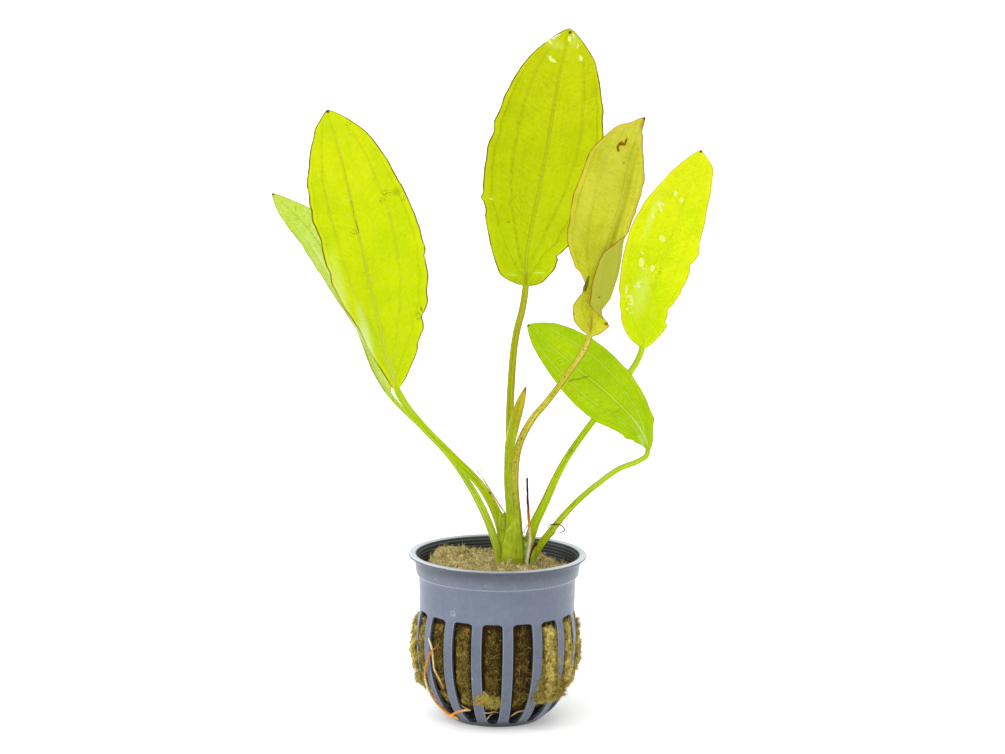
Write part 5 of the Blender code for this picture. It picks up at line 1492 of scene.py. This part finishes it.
class StageSettings(bpy.types.PropertyGroup):
    """Floor, lights and camera."""
    floor: colour_property("Floor", "Colour of the pale floor", "#ffffff")
    dome: FloatProperty(name="Dome", description="Strength of the even white light", default=0.89,
                        min=0.0)
    overhead: FloatProperty(name="Overhead light", description="Strength of the light from above",
                            default=1.00, min=0.0)
    side_light: FloatProperty(name="Side light", description="Strength of the small light at left",
                              default=0.60, min=0.0)
    glow: FloatProperty(name="Floor glow", description="Light that the floor itself gives",
                        default=0.22, min=0.0)
    spread: FloatProperty(name="Softness", description="Angle that the overhead light spans",
                          default=math.radians(70), min=0.0, subtype="ANGLE")


# ---- operators -------------------------------------------------------------------------------------
class MouldNetPot(bpy.types.Operator):
    """Mould the slotted plastic pot in place of its plain solid"""
    bl_idname = "sword_plant.mould_net_pot"
    bl_label = "Net pot"

    def execute(self, context):
        settings = context.scene.sword_pot
        *form, values = net_pot_form()
        pot = make_piece("moulded_net_pot", *form, pot_material(settings), "pot_plastic",
                         ["net_pot"], values, sharp=48)
        bevel = pot.modifiers.new("moulded_edges", "BEVEL")
        bevel.width = settings.edge_radius
        bevel.segments = 2
        bevel.limit_method = "ANGLE"
        bevel.angle_limit = math.radians(55)
        bevel.harden_normals = False
        return {"FINISHED"}


class PackRockWool(bpy.types.Operator):
    """Fill the pot with rock wool, its tufts and its loose fibres"""
    bl_idname = "sword_plant.pack_rock_wool"
    bl_label = "Rock wool"

    def execute(self, context):
        settings = context.scene.sword_wool
        material = wool_material(settings)
        draw = np.random.default_rng(7)
        grid, slotted, on_top = rock_wool_form()
        angle = np.arctan2(grid[..., 0], -grid[..., 1])
        slot = (((angle - FIRST_RIB_ANGLE) / RIB_PITCH) % RIB_COUNT).astype(int) % RIB_COUNT
        # Wool that stands proud is paler and wool lying back in a slot darker: partly dry and wet
        # wool, partly painted light and shade. Beside and behind the ribs it is darkened further as
        # painted shade, and the foot is between.
        proud = smoothstep(-1.0, 0.8, np.array(TUFT_REACH)[slot])
        foot = smoothstep(14.0, 7.0, grid[..., 2])
        pale = np.where(on_top > 0, 0.72, 0.07 + 0.58 * proud * slotted + 0.15 * foot * slotted)
        pale = pale - 0.25 * (1 - slotted) * (1 - on_top)
        plug = closed_grid(grid, [[0, 0, WOOL_HEIGHTS[0]], grid[-1].mean(axis=0)])
        whole = np.concatenate([pale.ravel(), [0.1, 0.7]])
        make_piece("rock_wool_plug", *plug, material, "rock_wool", ["rock_wool"],
                   dict(pale=whole, tint=0.0))
        self.add_fibres("rock_wool_top_fibres", grid, settings.top_fibres, draw, on_top, pale,
                        (0.0, 0.5), (0.7, 2.2), 0.0, 2.5, material)
        side = slotted * (1 - on_top)
        self.add_fibres("rock_wool_slot_fibres", grid, settings.slot_fibres, draw, side, pale,
                        (0.0, 0.05), (1.0, 2.8), -0.7, 1.5, material)
        self.add_tufts(settings, draw, material)
        return {"FINISHED"}

    def add_fibres(self, name, grid, count, draw, weight, pale, lift, length, slope, spread,
                   material):
        """One piece of loose fibres over part of the plug."""
        form, row, column = wool_fibres(grid, count, draw, weight, lift, length, slope, spread)
        # About every tenth fibre is dry and pale.
        tint = draw.normal(0.0, 0.15, count) + 0.4 * (draw.random(count) < 0.1)
        values = dict(pale=np.repeat(pale[row, column] + 0.06, FIBRE_POINTS),
                      tint=np.repeat(tint, FIBRE_POINTS))
        make_piece(name, *form, material, "rock_wool", (), values)

    def add_tufts(self, settings, draw, material):
        """The lumps that hang out over the ribs, and their fibres."""
        lumps, fibres = [], []
        share = settings.tuft_fibres / sum(tuft[3] * tuft[4] for tuft in TUFTS)
        for number, tuft in enumerate(TUFTS):
            grid = tuft_grid(*tuft, 300 + number)
            lump = closed_grid(grid, grid[[0, -1]].mean(axis=1))
            lumps.append((*lump, np.zeros(len(lump[0]))))
            outward = np.hypot(grid[..., 0], grid[..., 1]) > outside_radius(grid[..., 2]) - 1.0
            count = int(share * tuft[3] * tuft[4])
            form, _, _ = wool_fibres(grid, count, draw, outward + 0.02, (0.0, 0.04), (1.2, 2.8),
                                     -0.9, 0.8)
            tint = draw.normal(-0.03, 0.20, count)
            fibres.append((*form, np.repeat(tint, FIBRE_POINTS)))
        *form, _ = join_forms(lumps)
        # The tufts stand proud, so they get a high pale share: partly dry wool, partly painted light.
        make_piece("rock_wool_tufts", *form, material, "rock_wool", (), dict(pale=0.62, tint=0.0))
        *form, tint = join_forms(fibres)
        make_piece("rock_wool_tuft_fibres", *form, material, "rock_wool", (),
                   dict(pale=0.72, tint=tint))


class GrowLeaves(bpy.types.Operator):
    """Grow the six leaves and the young leaf in place of their plain solids"""
    bl_idname = "sword_plant.grow_leaves"
    bl_label = "Leaves"

    def execute(self, context):
        settings = context.scene.sword_leaves
        for name in LEAVES:
            form = leaf_form(name, settings)
            rows, columns = form["points"].shape[:2]
            ends, tips = loop_ends(rows, columns)
            quads = np.concatenate([grid_quads(rows, columns), ends])
            values = {key: value.ravel() for key, value in form["values"].items()}
            material = leaf_material("living_" + name, dict(BASE_LOOK, **LOOKS[name]), MARKS[name],
                                     form["length"], settings)
            make_piece(name + "_blade", form["points"], quads, tips, material, LEAF_SLOTS[name],
                       [name], values, form["uv"].reshape(-1, 2))
        return {"FINISHED"}


class GrowCrown(bpy.types.Operator):
    """Grow the short stem and the thin sheaths at the foot of the stalks"""
    bl_idname = "sword_plant.grow_crown"
    bl_label = "Crown"

    def execute(self, context):
        material = sheath_material(context.scene.sword_leaves)
        sheaths = [sheath_form(*sheath, 400 + number) for number, sheath in enumerate(SHEATHS)]
        *form, values = join_forms([crown_form()] + sheaths)
        make_piece("crown_and_sheaths", *form, material, "crown_green", ["crown"],
                   dict(way=values[:, 0], clear=values[:, 1]))
        return {"FINISHED"}


class LayRoots(bpy.types.Operator):
    """Lay the roots outside the pot and the dead stalk"""
    bl_idname = "sword_plant.lay_roots"
    bl_label = "Roots and dead stalk"

    def execute(self, context):
        strands = (
            ("dead_stalk", DEAD_STALK_PATH, (0.62, 0.56, 0.50, 0.42, 0.34, 0.31), "dried_stalk",
             ((0.0, "#f6f2e2"), (0.26, "#f0e6c8"), (0.44, "#e8cf94"), (0.52, "#d99a3a"),
              (0.62, "#a85a1c"), (0.74, "#5e1f10"), (0.95, "#331009"))),
            ("root_brown", along_ribs(ROOT_BROWN_ROUTE), (0.15, 0.36, 0.44, 0.34, 0.30, 0.34, 0.38,
             0.46, 0.40), "root_brown",
             ((0.0, "#8a4a1c"), (0.10, "#c07a2c"), (0.40, "#c88a3e"), (0.52, "#e6d2a0"),
              (0.72, "#c98a3c"), (0.86, "#d98a2a"), (1.0, "#e2b066"))),
            ("root_cream", along_ribs(ROOT_CREAM_ROUTE), (0.22, 0.34, 0.32, 0.3, 0.28, 0.16),
             "root_cream",
             ((0.0, "#efe6c8"), (0.4, "#dcc690"), (0.8, "#c9a662"), (1.0, "#b98a48"))),
        )
        for number, (node, path, radii, slot, stops) in enumerate(strands):
            *form, way = tube_form(path, radii, STRAND_GRID, 0.07, 500 + number)
            material = strand_material("dried_fibre_" + node, stops)
            make_piece(node + "_strand", *form, material, slot, [node], dict(way=way))
        for number, (path, radius, stops) in enumerate(THREADS):
            radii = radius * np.array((0.4, 1.0, 0.8, 0.9, 0.3))
            *form, way = tube_form(path, radii, THREAD_GRID, 0.06, 520 + number)
            material = strand_material(f"dry_thread_{number}", stops)
            make_piece(f"thread_{number}", *form, material, "root_cream", (), dict(way=way))
        return {"FINISHED"}


class WetLeaves(bpy.types.Operator):
    """Leave a few drops of water on the leaves"""
    bl_idname = "sword_plant.wet_leaves"
    bl_label = "Water drops"

    def execute(self, context):
        settings = context.scene.sword_leaves
        forms = {name: leaf_form(name, settings) for name in {drop[0] for drop in DROPS}}
        drops = []
        for name, at, share, long, wide, turn in DROPS:
            form = forms[name]
            row = int(np.argmin(np.abs(form["t"] - at)))
            column = int(np.argmin(np.abs(form["place"] - share)))
            drops.append(drop_form(form["points"][row, column] - 0.05 * form["out"][row],
                                   form["out"][row], form["tangent"][row], long, wide, turn))
        *form, _ = join_forms(drops)
        make_piece("water_drops", *form, water_material(), "leaf_bright")
        return {"FINISHED"}


class SetStage(bpy.types.Operator):
    """Set the pale floor, the soft lights and the camera"""
    bl_idname = "sword_plant.set_stage"
    bl_label = "Stage"

    def execute(self, context):
        settings = context.scene.sword_stage
        scene = context.scene
        mesh = bpy.data.meshes.new("floor")
        corners = ((-1, -1), (1, -1), (1, 1), (-1, 1))
        mesh.from_pydata([(x * FLOOR_REACH, y * FLOOR_REACH, 0) for x, y in corners], [],
                         [(0, 1, 2, 3)])
        mesh.materials.append(floor_material(settings))
        floor = bpy.data.objects.new("floor", mesh)
        scene.collection.objects.link(floor)
        world = bpy.data.worlds.new("white_dome")
        world.use_nodes = True
        world.node_tree.nodes["Background"].inputs["Color"].default_value = (1, 1, 1, 1)
        world.node_tree.nodes["Background"].inputs["Strength"].default_value = settings.dome
        scene.world = world
        # Name, strength, angle that it spans, direction from the plant.
        lights = (("overhead", settings.overhead, settings.spread, (-0.32, -0.42, 1.0)),
                  ("side_light", settings.side_light, math.radians(6), (-1.0, -0.35, 0.55)))
        for name, strength, angle, place in lights:
            light = bpy.data.lights.new(name, "SUN")
            light.energy = strength
            light.angle = angle
            lamp = bpy.data.objects.new(name, light)
            scene.collection.objects.link(lamp)
            lamp.matrix_world = Vector(place).to_track_quat("Z", "Y").to_matrix().to_4x4()
        scene.view_settings.view_transform = "Standard"
        camera = bpy.data.cameras.new("camera")
        camera.lens = CAMERA_LENS
        camera.sensor_width = 36.0
        camera.clip_start = 0.05
        camera.clip_end = 60.0
        eye = bpy.data.objects.new("camera", camera)
        scene.collection.objects.link(eye)
        lean = Matrix.Rotation(CAMERA_LEAN, 4, "Y")
        tilt = Matrix.Rotation(math.pi / 2 - CAMERA_TILT, 4, "X")
        eye.matrix_world = lean @ Matrix.Translation(Vector(CAMERA_PLACE) * MM) @ tilt
        scene.camera = eye
        return {"FINISHED"}


OPERATORS = (MouldNetPot, PackRockWool, GrowLeaves, GrowCrown, LayRoots, WetLeaves, SetStage)


class PlantPanel(bpy.types.Panel):
    """The settings and the pieces of the plant"""
    bl_idname = "VIEW3D_PT_sword_plant"
    bl_label = "Potted sword plant"
    bl_space_type = "VIEW_3D"
    bl_region_type = "UI"
    bl_category = "Plant"

    def draw(self, context):
        for group, _ in SETTINGS:
            settings = getattr(context.scene, group)
            box = self.layout.box()
            for key in type(settings).__annotations__:
                box.prop(settings, key)
        for operator in OPERATORS:
            self.layout.operator(operator.bl_idname)


SETTINGS = (("sword_pot", PotSettings), ("sword_wool", WoolSettings),
            ("sword_leaves", LeafSettings), ("sword_stage", StageSettings))


def register():
    """Make the settings, the operators and the panel known."""
    for key, group in SETTINGS:
        bpy.utils.register_class(group)
        setattr(bpy.types.Scene, key, PointerProperty(type=group))
    for item in (*OPERATORS, PlantPanel):
        bpy.utils.register_class(item)


def unregister():
    """Take them away again, last first."""
    for item in reversed((*OPERATORS, PlantPanel)):
        bpy.utils.unregister_class(item)
    for key, group in reversed(SETTINGS):
        delattr(bpy.types.Scene, key)
        bpy.utils.unregister_class(group)


def main():
    register()
    for operator in OPERATORS:
        group, name = operator.bl_idname.split(".")
        getattr(getattr(bpy.ops, group), name)()


if __name__ == "__main__":
    main()
